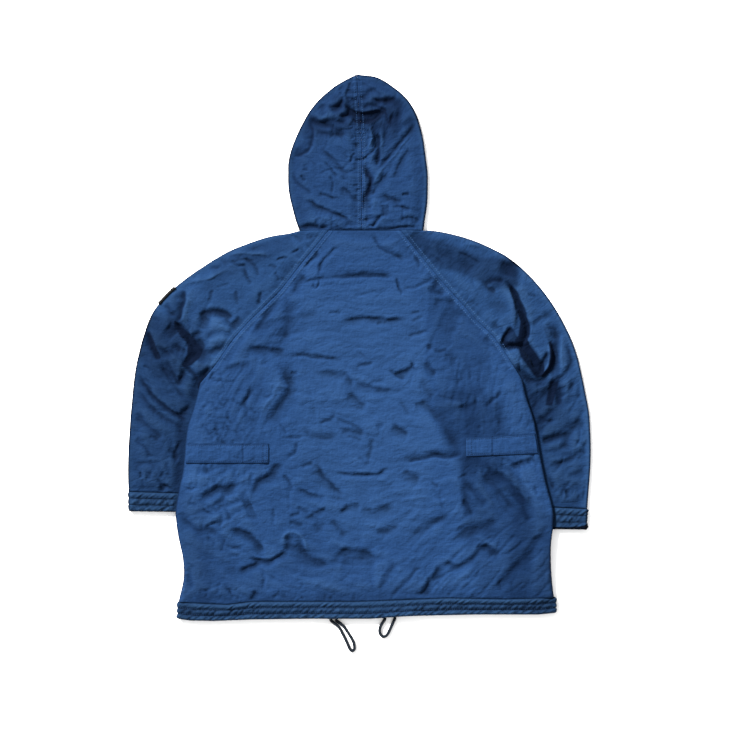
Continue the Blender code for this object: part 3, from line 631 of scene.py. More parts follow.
class Recipe:
    """One material and the nodes that make it."""

    def __init__(self, name):
        self.material = bpy.data.materials.new(name)
        self.material.use_nodes = True
        self.tree = self.material.node_tree
        self.shader = self.tree.nodes["Principled BSDF"]

    def feed(self, socket, value):
        """Link a value to a socket, or set the socket to a constant."""
        if isinstance(value, Value):
            self.tree.links.new(value.socket, socket)
        elif isinstance(value, tuple) and len(value) == 3 and socket.type == "RGBA":
            socket.default_value = (*value, 1.0)
        else:
            socket.default_value = value

    def node(self, kind, settings=None, inputs=None, output=0):
        """Add a node: its type, its settings, then its sockets' values or links."""
        made = self.tree.nodes.new(kind)
        for key, value in (settings or {}).items():
            setattr(made, key, value)
        for key, value in (inputs or {}).items():
            self.feed(made.inputs[key], value)
        return Value(self, made.outputs[output])

    def cloth_place(self, across=1.0, along=1.0):
        """The place on the cloth in metres, squeezed or stretched along its two threads."""
        place = self.node("ShaderNodeUVMap", {"uv_map": "cloth"})
        return self.node("ShaderNodeVectorMath", {"operation": "MULTIPLY"},
                         {0: place, 1: (across, along, 1.0)})

    def number(self, name):
        """A number that the mesh carries at each point."""
        return self.node("ShaderNodeAttribute", {"attribute_name": name}, output="Fac")

    def grain(self, place, scale, detail=2.0, rough=0.5):
        """Noise from -1 to 1 with so many swells in a metre."""
        return self.node("ShaderNodeTexNoise", {"normalize": True},
                         {"Vector": place, "Scale": scale, "Detail": detail,
                          "Roughness": rough}) * 2 - 1

    def blend(self, first, second, share):
        """Mix two colours."""
        return self.node("ShaderNodeMix", {"data_type": "RGBA"},
                         {"Factor": share, 6: first, 7: second}, output=2)

    def bumps(self, height):
        """Feed a height in millimetres to the shader's normal."""
        bump = self.node("ShaderNodeBump", {}, {"Strength": 1.0, "Distance": MM,
                                                "Height": height})
        self.feed(self.shader.inputs["Normal"], bump)

    def part(self, place, axis):
        """One coordinate of a place."""
        return self.node("ShaderNodeSeparateXYZ", {}, {0: place}, output=axis)

    def finish(self, **values):
        """Feed the shader's sockets, constant or varying, and give back the material."""
        for key, value in values.items():
            self.feed(self.shader.inputs[key.replace("_", " ")], value)
        print("finish:", self.material.name)
        return self.material


print("the language knows:", [word for word in vars(Value) if not word.startswith("_")])

# %% [markdown]
# The cotton is mixed in layers. The hollows get a painted shade, the ridges are worn and
# carry a painted highlight, the threads' slubs speckle both, and the drawn tone, mostly
# painted shade, comes last. Its bumps are too fine for the grid: shallow V-shaped facets
# of a few centimetres, small wrinkles, streaks along both threads, and the weave.

# %% Cotton
# painted black shade, put in the tightest folds where the drawn tone passes 0.85
UNLIT = (0.00002, 0.0001, 0.0008)    # the colour inside the tightest folds
WEAVE = 7800.0                       # how fast the weave's waves turn, a metre


def cotton(name, colour, deep, worn_and_lit, swell, hollow):
    """Padded cotton: painted shade in the hollows, worn ridges with a painted highlight, slubs
    along both threads and a fine weave.
    """
    recipe = Recipe(name)
    place = recipe.cloth_place()
    relief = recipe.number("relief")
    mottle = recipe.grain(place, 9.0, 3.0)
    grain = recipe.grain(place, 330.0, 3.0, 0.65)
    slub = recipe.grain(recipe.cloth_place(60.0, 420.0), 1.0, 2.0)
    weft = recipe.grain(recipe.cloth_place(420.0, 60.0), 1.0, 2.0)
    # painted shade: the colour turns to the deep one down in the hollows, by relief
    shade = recipe.blend(deep, colour, (relief + 0.35 * mottle).between(hollow, 0.1))
    # lighter on the ridges: wear, and a painted highlight
    ridge = (relief + 0.5 * grain + 0.5 * mottle).between(0.25, 2.4)
    shade = recipe.blend(shade, worn_and_lit, 0.75 * ridge)
    speckle = (0.5 + 0.55 * grain + 0.22 * slub + 0.22 * weft).between(0.0, 1.0)
    shade = recipe.blend(recipe.blend(shade, deep, 0.24), recipe.blend(shade, worn_and_lit, 0.3),
                         speckle)
    tone = recipe.number("tone")
    # the drawn tone: painted shade towards the deep colour, wear, lint and painted light towards
    # the worn colour, painted black shade past 0.85
    for colour, low, high in ((deep, 0.0, 1.0), (worn_and_lit, 0.0, -1.0), (UNLIT, 0.85, 1.35)):
        shade = recipe.blend(shade, colour, tone.between(low, high))
    wrinkle = recipe.grain(recipe.cloth_place(1.0, 1.25), 95.0, 3.0, 0.6)
    streak = recipe.grain(recipe.cloth_place(150.0, 32.0), 1.0, 2.0) + 0.8 * recipe.grain(
        recipe.cloth_place(34.0, 160.0), 1.0, 2.0)
    place_in_weave = recipe.cloth_place(WEAVE, WEAVE)
    weave = recipe.part(place_in_weave, 0).sine() * recipe.part(place_in_weave, 1).sine()
    facets = recipe.grain(recipe.cloth_place(1.0, 1.5), 21.0, 3.0, 0.55).absolute()
    recipe.bumps(3.0 * facets + swell * (0.24 * wrinkle + 0.2 * streak) + 0.12 * grain
                 + 0.05 * slub + 0.05 * weft + 0.03 * weave)
    return recipe.finish(Base_Color=shade, Roughness=0.86 + 0.06 * grain,
                         Specular_IOR_Level=0.021, Sheen_Weight=0.010, Sheen_Roughness=0.5,
                         Sheen_Tint=(0.3, 0.55, 1.0))


body_cotton, sleeve_cotton, hood_cotton, quilt_cotton = (cotton(*row) for row in (
    # name, colour, colour of the painted shade, worn and lit colour, the fine bumps' strength,
    # relief of the darkest hollow
    ("blue_cotton_body", (0.0051, 0.0178, 0.0538), (0.0008, 0.0038, 0.0134),
     (0.0102, 0.0290, 0.0739), 1.0, -2.6),
    ("blue_cotton_sleeve", (0.0045, 0.0161, 0.0475), (0.0006, 0.0027, 0.0097),
     (0.0097, 0.0273, 0.0672), 1.0, -2.6),
    ("blue_cotton_hood", (0.0039, 0.0139, 0.0433), (0.0007, 0.0029, 0.0105),
     (0.0084, 0.0248, 0.0626), 1.0, -2.6),
    ("blue_cotton_quilted", (0.0034, 0.0109, 0.0294), (0.0003, 0.0012, 0.0040),
     (0.0088, 0.0244, 0.0554), 1.1, -1.3),
))

# %% [markdown]
# ## A padded panel
# Each panel is a closed shell: a fine outside, a plain inside with every fourth
# point, and four narrow rims that join them. The outside is a grid whose height is a
# function of x and y, so seams, puffs and creases are simply added together.

# %% Panel builder
STEP = 4    # the inside keeps each fourth row and column


def grid(*parts):
    """Stack coordinates into one grid of points, spreading any that are constant."""
    return np.stack(np.broadcast_arrays(*parts), axis=2)


def rim(fine, coarse, flip):
    """Triangles that join a fine edge to a coarse one, four fine lengths to each coarse one."""
    start, part = np.divmod(np.arange(len(fine) - 1), STEP)
    apex = coarse[start + (part >= STEP // 2)]
    sides = np.stack([fine[1:], fine[:-1], apex], axis=1)
    middle = np.stack([coarse[:-1], coarse[1:], fine[STEP // 2::STEP]], axis=1)
    faces = np.concatenate([sides, middle])
    return faces[:, ::-1] if flip else faces


def add_piece(name, points, faces, material):
    """Make a smooth object from points in millimetres and faces."""
    mesh = bpy.data.meshes.new(name)
    mesh.from_pydata((points.reshape(-1, 3) * MM).tolist(), [], faces)
    mesh.shade_smooth()
    mesh.materials.append(material)
    piece = bpy.data.objects.new(name, mesh)
    bpy.context.scene.collection.objects.link(piece)
    return piece


def lay_map(mesh, places):
    """Give the mesh its cloth map from a place in metres for each point."""
    owners = np.empty(len(mesh.loops), dtype=np.int32)
    mesh.loops.foreach_get("vertex_index", owners)
    mesh.uv_layers.new(name="cloth").data.foreach_set("uv", places[owners].ravel())


def panel(name, outer, inner, material, relief_reach=9, tone=0.0, cloth=None):
    """Join an outside grid and an inside grid, both in millimetres, into one closed shell.

    The map is cloth, or else x and y. Relief is the height above its own blurred copy.
    """
    inner = inner[::STEP, ::STEP]
    cloth = outer[:, :, :2] if cloth is None else cloth
    (rows, columns), (few, less) = outer.shape[:2], inner.shape[:2]
    top = np.arange(rows * columns).reshape(rows, columns)
    low = rows * columns + np.arange(few * less).reshape(few, less)

    def cells(index):
        """The four points of each cell of a grid."""
        return np.stack([index[:-1, :-1], index[:-1, 1:], index[1:, 1:], index[1:, :-1]],
                        axis=-1).reshape(-1, 4)

    quads = np.concatenate([cells(top), cells(low)[:, ::-1]])
    thirds = np.concatenate([rim(top[0], low[0], False), rim(top[-1], low[-1], True),
                             rim(top[:, 0], low[:, 0], True), rim(top[:, -1], low[:, -1], False)])
    points = np.concatenate([outer.reshape(-1, 3), inner.reshape(-1, 3)])
    corners = points[np.concatenate([quads[:, [0, 1, 2]], quads[:, [0, 2, 3]], thirds])]
    volume = np.einsum("ij,ij->", corners[:, 0], np.cross(corners[:, 1], corners[:, 2])) / 6
    if volume < 0:
        quads, thirds = quads[:, ::-1], thirds[:, ::-1]
    piece = add_piece(name, points, quads.tolist() + thirds.tolist(), material)
    lay_map(piece.data, np.concatenate([cloth.reshape(-1, 2),
                                        cloth[::STEP, ::STEP].reshape(-1, 2)]) * MM)
    height = outer[:, :, 2] - blur(outer[:, :, 2], relief_reach)
    # tone carries the painted shade and painted light, with the rubbed rows and lint
    for word, values in (("relief", height), ("tone", np.broadcast_to(tone, height.shape))):
        whole = np.concatenate([values.ravel(), np.zeros(few * less)])
        piece.data.attributes.new(word, "FLOAT", "POINT").data.foreach_set("value", whole)
    print(f"{name}: {len(piece.data.polygons)} faces, volume {abs(volume) / 1000:.0f} cm3")
    return piece


def finish_piece(piece, node):
    """Let a piece stand for its solid, which is hidden, and ride on the jacket."""
    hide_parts(node)
    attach(piece, "root")


# %% [markdown]
# ## The drawcord in the hem
# Two loops of round cord hang out of the hem band. Each is a tube carried along
# its route, with the small bumps of a braid. They are made before the cloth, so
# that their length and place are settled first.

# %% Drawcord loops
CORD_RADIUS = 3.2
CORD_Z = 3.4
CORD_POINTS = 30                  # points taken on the cord's route
CORD_RINGS, CORD_SIDES = 161, 16
LEFT_CORD_ROUTE = (
    (-57, -541.7), (-55.8, -545), (-50.5, -549.5), (-42, -556.5), (-35.5, -567),
    (-26.5, -585), (-19.8, -600), (-15.6, -605), (-11.2, -603), (-10, -597), (-13, -585),
    (-24.5, -566), (-32, -555.5), (-41, -548), (-45.6, -545), (-46.4, -541.7),
)
RIGHT_CORD_ROUTE = (
    (51, -539.5), (49.9, -543.5), (42.6, -555), (40.2, -565), (42.6, -573), (48.5, -576.4),
    (55.4, -572.6), (62, -560), (67.4, -548), (70.4, -542), (71, -538.3),
)


def braid(name, colour, light):
    """A woven cord: diagonal strands round the tube, read from the map along the cord."""
    recipe = Recipe(name)
    turn, run = (recipe.part(recipe.cloth_place(), axis) for axis in (0, 1))
    first = (run * 2200.0 + turn * 12.566).sine()
    second = (run * 2200.0 - turn * 12.566).sine()
    strand = (first * second).between(-0.7, 0.7)
    recipe.bumps(0.5 * strand)
    return recipe.finish(Base_Color=recipe.blend(colour, light, strand),
                         Roughness=0.7 + 0.1 * strand, Specular_IOR_Level=0.08,
                         Sheen_Weight=0.03)


def add_cord(name, route, material):
    """Carry a circle along the route; the circle swells a little, as a braid does."""
    knots = curve_of(np.array([(x, y, CORD_Z) for x, y in route], dtype=float), 12)
    line = even_points(knots, CORD_RINGS)
    heading = unit(np.gradient(line, axis=0))
    across = np.stack([heading[:, 1], -heading[:, 0], 0 * heading[:, 0]], axis=1)
    turn = np.linspace(0, 2 * math.pi, CORD_SIDES + 1)[:-1]
    step = np.arange(CORD_RINGS)[:, None]
    swell = np.sin(2 * turn + 1.9 * step) * np.sin(2 * turn - 1.9 * step)
    ring = CORD_RADIUS * (0.965 + 0.035 * swell)
    points = (line[:, None] + (ring * np.cos(turn))[..., None] * across[:, None]
              + (ring * np.sin(turn))[..., None] * np.array([0.0, 0.0, 1.0]))
    index = np.arange(CORD_RINGS * CORD_SIDES).reshape(CORD_RINGS, CORD_SIDES)
    after = np.roll(index, -1, axis=1)
    quads = np.stack([index[:-1], after[:-1], after[1:], index[1:]], axis=-1).reshape(-1, 4)
    caps = [index[0, ::-1].tolist(), index[-1].tolist()]
    piece = add_piece(name, points, quads.tolist() + caps, material)
    run = run_along(line)[-1]
    ring_of, side_of = np.divmod(index.ravel(), CORD_SIDES)
    lay_map(piece.data, np.stack([side_of / CORD_SIDES,
                                  ring_of / (CORD_RINGS - 1) * run * MM], axis=1))
    route_points = even_points(knots, CORD_POINTS) * MM
    print(f"{name}: {run:.0f} mm of cord")
    return piece


navy_braid = braid("navy_braid", (0.0009, 0.0018, 0.0034), (0.0032, 0.0066, 0.0115))
for node, route in (("hem_cord_left", LEFT_CORD_ROUTE), ("hem_cord_right", RIGHT_CORD_ROUTE)):
    finish_piece(add_cord("braid_" + node, route, navy_braid), node)

# %% [markdown]
# ## The back panel
# The back is the big smooth sheet between the raglan seams. It is lifted where the
# sleeves lie under it, puffs up away from its seams, and carries the jacket's
# longest creases: they fan out from the underarms, run across the waist casings, and
# fall towards the hem. Each row of the table is one crease as the eye reads it.

# %% Creases drawn on the back
BACK_CREASES = (
    # depth, left width, right width, lip, then the route: x, y, ...
    # upper back
    (4.0, 6, 2.4, 0.8, 328, 278.5, 340, 278, 352, 277.5, 366, 276.5, 380, 277, 395, 277.5),
    (2.2, 2, 3.5, 0.6, 303, 282.5, 311, 281, 318, 279, 326, 278),
    (2.0, 2, 2, 0.6, 319, 279, 318.5, 285, 316, 289, 313, 286, 314, 283),
    (2.6, 4, 3, 0.8, 341, 247.5, 333, 251, 327, 257, 321, 264, 320, 270, 318.5, 279),
    (2.6, 4, 3, 0.7, 319, 251, 315, 257, 309, 263, 304, 269),
    (3.5, 4, 3, 0.9, 306, 273, 301, 280, 297, 284, 295, 290, 291, 296),
    (3.0, 6, 6, 0.6, 292, 297, 288, 308, 288, 322, 286.5, 340),
    (3.5, 4, 3, 0.9, 284, 300, 276, 304, 270, 312, 262, 322, 257, 330, 251, 338),
    (3.0, 14, 14, 0.0, 275, 318, 280, 340),
    (4.0, 2.6, 4, 0.9, 247, 349, 262, 348.5, 272, 350, 282, 351, 289, 350.5),
    (3.0, 4, 5, 0.6, 262, 347, 270, 345, 279, 343, 285, 338, 287, 330),
    (2.8, 3.5, 2.4, 0.9, 288, 356, 303, 355.5, 313, 357, 322, 358.5, 333, 359.5, 344, 362),
    (3.0, 2.5, 4, 0.8, 316, 368.5, 322, 372, 330, 373, 341, 373.5, 348, 376, 351, 385, 350, 393),
    (3.0, 3, 4, 0.8, 347, 394, 354, 398, 360, 403, 367, 407),
    (3.0, 3, 4, 0.7, 223, 371, 232, 368, 243, 365.5, 255, 364.5),
    (1.6, 2, 3, 0.4, 218, 375, 228, 374),
    (1.6, 2, 3, 0.4, 209, 376, 214, 380, 223, 381, 240, 382),
    (2.0, 5, 5, 0.4, 266, 352, 266, 368),
    (4.6, 4, 6, 0.6, 280, 360, 282, 368, 286, 376, 289, 385, 288, 394, 283, 402, 277, 410,
     271, 418, 262, 427),
    (-2.6, 6, 8, 0.0, 281, 375, 279, 385, 273, 395, 266, 405, 260, 415),
    (2.5, 3, 4, 0.6, 250, 386, 250, 394, 246, 402, 248, 412, 243, 420),
    (2.0, 2, 3, 0.5, 264, 398, 270, 396, 274, 392),
    (1.8, 2, 3, 0.5, 206, 400, 214, 405, 221, 412),
    (2.0, 2, 3, 0.5, 290, 372.5, 299, 373),
    (4.0, 3.2, 2.2, 1.0, 337, 321.5, 348, 320, 358, 318.8, 370, 318.5, 385, 319.5, 400, 320,
     411, 319),
    (2.0, 2, 3, 0.5, 384, 322, 378, 324.5, 388, 322),
    (1.8, 2, 3, 0.5, 328, 312.5, 342, 313.5),
    (1.8, 2, 3, 0.5, 410, 313, 420, 312.5),
    (1.5, 2, 3, 0.5, 410, 322, 423, 316.5),
    (1.5, 5, 5, 0.3, 300, 318, 310, 316, 320, 314),
    (1.2, 2, 3, 0.3, 352, 297, 365, 294, 380, 291),
    (2.5, 2.5, 4, 0.7, 407, 338, 414, 334.5, 422, 332, 430, 331),
    (2.5, 3, 2.5, 0.7, 396, 277, 397, 283, 400, 291, 402, 297),
    (2.4, 2.5, 3, 0.7, 400, 291, 408, 289, 414, 288, 420, 285, 427, 282, 432, 278, 436, 280),
    (4.0, 3, 4, 0.9, 434, 275, 437, 280, 434, 288, 431, 292, 438, 293, 447, 294),
    (3.0, 4, 5, 0.7, 433, 300, 445, 303, 457, 303),
    (3.0, 16, 16, 0.0, 440, 312, 462, 322),
    (2.8, 5, 3, 0.7, 371, 233, 375, 241, 380, 248, 387, 253, 395, 256, 400, 259, 405, 265),
    (2.0, 3, 3, 0.5, 413, 255, 418, 263, 419, 270),
    (2.0, 4, 4, 0.4, 428, 344, 428, 350),
    (2.5, 2.5, 4, 0.6, 432, 350, 440, 352, 448, 349),
    (2.5, 8, 8, 0.3, 443, 355, 457, 362),
    (2.5, 2.5, 4, 0.6, 355, 366, 365, 364.5, 375, 363),
    (1.5, 2, 3, 0.4, 357, 352, 364, 357, 368, 362),
    (2.8, 3, 4, 0.7, 388, 369, 394, 374, 401, 378, 407, 380),
    (4.0, 2.5, 3, 1.0, 393, 375, 405, 371, 411, 367, 412, 365, 414, 369, 420, 369),
    (3.0, 3, 4, 0.8, 424, 361, 427, 366, 431, 371, 437, 374),
    (3.0, 5, 4, 0.7, 423, 378, 424, 386, 428, 394, 432, 399),
    (3.5, 2.5, 4, 0.9, 355, 384, 368, 387, 378, 389.5, 395, 390),
    (1.5, 2, 3, 0.4, 368, 384, 376, 381, 386, 381),
    (3.0, 2.5, 4, 0.8, 414, 405, 420, 404, 425, 401),
    (-1.5, 5, 5, 0.0, 425, 404, 440, 405.5, 455, 404, 468, 403),
    (3.0, 3, 4, 0.8, 457, 408, 466, 406, 474, 402, 478, 401),
    (4.4, 9, 5, 0.0, 421, 388, 424, 398, 430, 410, 438, 420, 446, 432, 454, 444, 461, 455),
    (2.5, 3, 4, 0.7, 503, 390, 495, 397, 488, 404, 482, 408),
    (2.0, 4, 4, 0.4, 400, 400, 404, 408, 410, 416),
    # waist
    (3.0, 2.5, 4, 0.8, 375, 427, 380, 425, 384, 426),
    (4.0, 3, 4, 0.9, 392, 425, 398, 429, 404, 432, 409, 433),
    (2.0, 4, 4, 0.5, 380, 441, 372, 441, 371, 450, 368, 460, 366, 463, 360, 458, 352, 455),
    (2.5, 3, 4, 0.6, 319, 424, 325, 421, 332, 418, 336, 414),
    (2.5, 3, 4, 0.6, 332, 417, 350, 424, 359, 429, 367, 434),
    (3.0, 2.5, 3.5, 0.8, 340, 433, 348, 431, 356, 432, 366, 435),
    (2.0, 2, 3, 0.5, 345, 436, 355, 438, 364, 441),
    (2.6, 8, 4, 0.5, 305, 425, 307, 433, 312, 437, 325, 438, 340, 437),
    (2.0, 2, 3, 0.5, 278, 437, 290, 437, 305, 437),
    (2.0, 2, 3, 0.5, 279, 423, 284, 428, 288, 434),
    (2.5, 3, 4, 0.6, 298, 440, 297, 446, 294, 453, 286, 457),
    (4.2, 5, 3, 0.8, 286, 466.5, 281, 466, 275, 467, 271, 475, 262, 479, 257, 484, 254, 492,
     251, 499),
    (3.5, 9, 9, 0.3, 252, 500, 243, 504),
    (5.4, 4, 3, 1.0, 240, 482, 232, 485, 228, 488, 218, 487, 208, 494, 199, 498.5),
    (3.0, 3, 4, 0.7, 227, 495, 222, 500, 215, 504),
    (2.0, 2, 3, 0.5, 203, 507, 210, 512, 216, 514),
    (2.0, 2, 3, 0.5, 190, 503, 198, 504),
    (2.0, 2.5, 3.5, 0.5, 222, 510, 223, 518, 219, 528),
    (2.0, 2.5, 3.5, 0.5, 224, 506, 229, 514, 232, 521),
    (2.2, 2.5, 3.5, 0.5, 205, 526, 214, 522, 222, 520),
    (3.4, 3, 4, 0.7, 180, 512, 190, 522, 200, 530, 208, 528, 216, 530, 226, 531),
    (4.8, 3, 4, 0.6, 228, 530, 240, 530, 247, 533, 255, 539, 262, 547, 269, 552),
    (0.9, 2, 3, 0.2, 289, 473, 289.5, 490, 289, 515),
    (1.6, 2, 3, 0.4, 274, 505, 274, 528),
    (2.5, 3, 4, 0.6, 226, 537, 224, 545, 222, 551),
    (2.0, 3, 4, 0.5, 208, 534, 213, 540, 217, 545),
    (3.2, 2.2, 5, 0.6, 333, 472.5, 345, 473.5, 360, 474, 375, 474, 381, 472, 385, 469, 393, 470),
    (4.0, 3, 5, 0.9, 315, 462, 318, 466, 321, 473, 324, 478, 329, 482, 334, 487, 340, 492,
     346, 494),
    (2.2, 3, 4, 0.5, 300, 466, 308, 464, 315, 462),
    (3.0, 2, 3, 0.8, 296, 487, 304, 491, 312, 494, 320, 496, 328, 498),
    (2.5, 3, 4, 0.6, 283, 474, 288, 479, 291, 484, 293, 490),
    (2.5, 2.5, 4, 0.6, 288, 515.5, 296, 513, 301, 511),
    (3.0, 2, 3, 0.8, 304, 519, 312, 514, 320, 510, 328, 507),
    (2.0, 4, 4, 0.4, 297, 507, 310, 512),
    (2.2, 3, 3, 0.5, 289, 521, 298, 524, 304, 525),
    (3.0, 2.5, 4, 0.8, 338, 515, 343, 510, 349, 506, 356, 505, 362, 504),
    (3.0, 3, 4, 0.8, 361, 507, 368, 510, 375, 512, 385, 507, 395, 504),
    (2.5, 5, 5, 0.5, 315, 522, 320, 531),
    (2.5, 5, 5, 0.5, 330, 520, 338, 526, 345, 538),
    (5.0, 6.5, 2.6, 0.9, 401, 462, 413, 460, 425, 458, 433, 455.5, 445, 457, 455, 455, 465, 451.5),
    (3.2, 3, 4, 0.8, 404, 469, 409, 474, 415, 477, 421, 479),
    (2.0, 2, 3, 0.5, 430, 482, 438, 486),
    (2.0, 2, 3, 0.5, 456, 479, 462, 475, 467, 472),
    (3.0, 3, 5, 0.7, 466, 480, 470, 487, 474, 493, 481, 502, 486, 508),
    (2.8, 3, 4, 0.7, 462, 497, 467, 506, 472, 515),
    (-1.6, 4, 4, 0.0, 475, 480, 482, 492, 490, 500, 498, 505),
    (-4.0, 4, 4, 0.0, 500, 468, 510, 478, 518, 488, 525, 497, 527, 505),
    (6.0, 4, 4, 0.3, 484, 466, 492, 474, 503, 478, 512, 486, 520, 496, 527, 506),
    (4.0, 5, 6, 0.3, 478, 476, 490, 482, 500, 492, 508, 504, 516, 512),
    (3.5, 3, 4, 0.8, 520, 502, 524, 512, 528, 522),
    (3.5, 2.5, 4, 0.9, 507, 466, 516, 463, 525, 461, 532, 460),
    (1.5, 2, 3, 0.4, 520, 481, 530, 482),
    (2.0, 3, 3, 0.5, 534, 485, 536, 495),
    (3.0, 3, 5, 0.7, 405, 533, 412, 532, 424, 528, 430, 522, 440, 518, 452, 515),
    (-1.2, 3, 3, 0.0, 395, 500, 410, 498, 425, 496, 440, 503),
    (2.5, 5, 5, 0.5, 375, 532, 385, 531, 392, 528, 400, 524),
    (4.6, 5, 5, 0.4, 455, 526, 466, 529, 478, 528, 490, 523, 500, 519),
    (3.6, 4, 4, 0.4, 462, 462, 464, 480, 465, 500, 466, 524),
    # towards the hem
    (3.5, 3, 4, 0.8, 288, 534, 288, 545, 287, 551),
    (-2.5, 3, 3, 0.0, 284, 545, 284, 536, 289, 531, 296, 531, 302, 536, 306, 545, 309, 552),
    (3.9, 3.4, 4.4, 0.8, 293, 538, 299, 542, 303, 549, 306, 554, 313, 558, 322, 561, 329, 567,
     331, 568),
    (5.0, 2.3, 3.6, 1.0, 291, 549, 282, 553, 275, 557, 268, 560, 260, 559, 246, 556.5),
    (3.9, 2, 3.4, 0.9, 262, 560, 252, 565, 246, 567, 239, 571),
    (3.2, 3, 4.4, 0.7, 328, 558, 336, 556, 341, 552, 347, 549, 362, 550, 374, 557, 385, 559),
    (3.0, 12, 12, 0.0, 340, 555, 360, 558, 378, 558),
    (1.4, 2, 3, 0.4, 256, 567, 263, 570, 265, 576, 264, 585, 262, 590),
    (2.0, 2, 3, 0.5, 186, 562, 191, 563, 196, 566),
    (2.5, 5, 5, 0.5, 188, 572, 190, 580, 195, 586),
    (1.6, 2, 3, 0.4, 200, 590, 209, 589),
    (1.5, 2, 3, 0.4, 220, 585, 218, 594),
    (3.0, 2.5, 3.5, 0.8, 257, 589, 253, 595, 251, 600),
    (2.0, 2, 3, 0.5, 226, 586, 231, 592, 235, 598),
    (2.0, 2, 3, 0.5, 277, 592, 274, 598),
    (1.6, 2, 3, 0.4, 302, 595, 303, 600),
    (1.6, 2, 3, 0.4, 331, 594, 332, 599),
    (1.6, 2, 3, 0.4, 239, 595, 238, 600),
    (1.6, 2, 3, 0.4, 415, 592, 425, 591),
    (1.6, 2, 3, 0.4, 448, 592, 449, 596),
    (1.8, 2, 3, 0.4, 470, 592, 474, 596, 476, 598),
    (3.0, 3, 5, 0.7, 479, 543, 486, 547, 493, 552, 500, 553),
    (-2.0, 3, 3, 0.0, 470, 535, 480, 537, 490, 543, 498, 548),
    (3.6, 2.6, 4.0, 0.9, 438, 566, 443, 562, 450, 563, 456, 565, 465, 562, 472, 557, 477, 550,
     480, 545, 487, 546, 495, 551, 501, 552),
    (4.4, 3, 5, 0.7, 441, 562, 436, 572, 430, 580, 425, 588, 421, 596),
    (2.0, 2, 3, 0.5, 446, 573, 437, 577, 431, 581),
    (2.5, 3, 4, 0.6, 425, 563, 415, 570, 409, 578, 402, 585, 395, 592, 391, 598),
    (2.5, 5, 5, 0.5, 393, 560, 392, 568, 387, 575, 383, 583, 378, 586),
    (2.2, 2.5, 4, 0.5, 480, 570, 471, 579, 463, 587, 458, 590),
    (4.4, 4, 4, 0.8, 550, 522, 543, 531, 536, 540, 530, 549, 522, 558, 512, 567, 503, 577,
     495, 585, 487, 592),
    (-1.4, 3, 3, 0.0, 547, 569, 546, 582),
)
BACK_CHANCE = chance_creases(11, (
    # count, x from, x to, y from, y to, turn, spread, shortest, longest, depth, width
    (44, 270, 450, 240, 350, 3, 12, 40, 120, 0.5, 1.9),
    (22, 205, 255, 380, 442, -52, 16, 20, 60, 1.4, 2.0),
    (20, 250, 360, 355, 440, -30, 30, 24, 80, 0.8, 2.0),
    (24, 380, 500, 340, 440, 35, 35, 24, 80, 0.9, 2.0),
    (26, 452, 474, 362, 402, 86, 8, 14, 40, 1.0, 1.7),
    (46, 185, 545, 468, 590, 0, 50, 24, 90, 0.8, 2.1),
    (34, 190, 540, 575, 600, 85, 14, 10, 30, 1.3, 1.9),
    (30, 190, 270, 464, 486, 80, 14, 12, 34, 1.3, 2.0),
    (26, 465, 535, 457, 476, 85, 14, 12, 34, 1.3, 2.0),
    (22, 190, 270, 424, 444, 80, 16, 12, 30, 1.2, 2.0),
    (22, 465, 535, 418, 438, 80, 16, 12, 30, 1.2, 2.0),
    (18, 480, 544, 534, 598, 46, 8, 40, 110, 1.7, 1.6),
    (30, 188, 224, 374, 440, 8, 40, 12, 36, 1.4, 1.6),
    (36, 182, 238, 482, 592, 10, 60, 14, 44, 1.4, 1.6),
))
BACK_GRAIN = (
    # x, y and reach on the drawing, turn in degrees, strength, then length and width in mm
    (350, 300, 70, -2, 1.6, 120.0, 22.0),
    (350, 380, 70, -6, 1.6, 110.0, 24.0),
    (355, 440, 70, -8, 1.8, 90.0, 24.0),
    (245, 400, 48, 62, 2.4, 90.0, 21.0),
    (275, 320, 30, 58, 1.8, 90.0, 19.0),
    (480, 330, 38, -30, 1.4, 90.0, 20.0),
    (480, 400, 40, 86, 2.4, 80.0, 18.0),
    (500, 480, 38, -48, 3.6, 90.0, 18.0),
    (225, 490, 48, 24, 3.2, 90.0, 20.0),
    (240, 560, 60, -28, 2.6, 100.0, 22.0),
    (330, 500, 60, -18, 2.6, 90.0, 22.0),
    (420, 500, 60, 14, 2.4, 90.0, 22.0),
    (340, 560, 60, -14, 2.6, 90.0, 22.0),
    (450, 560, 60, 42, 3.0, 100.0, 20.0),
)
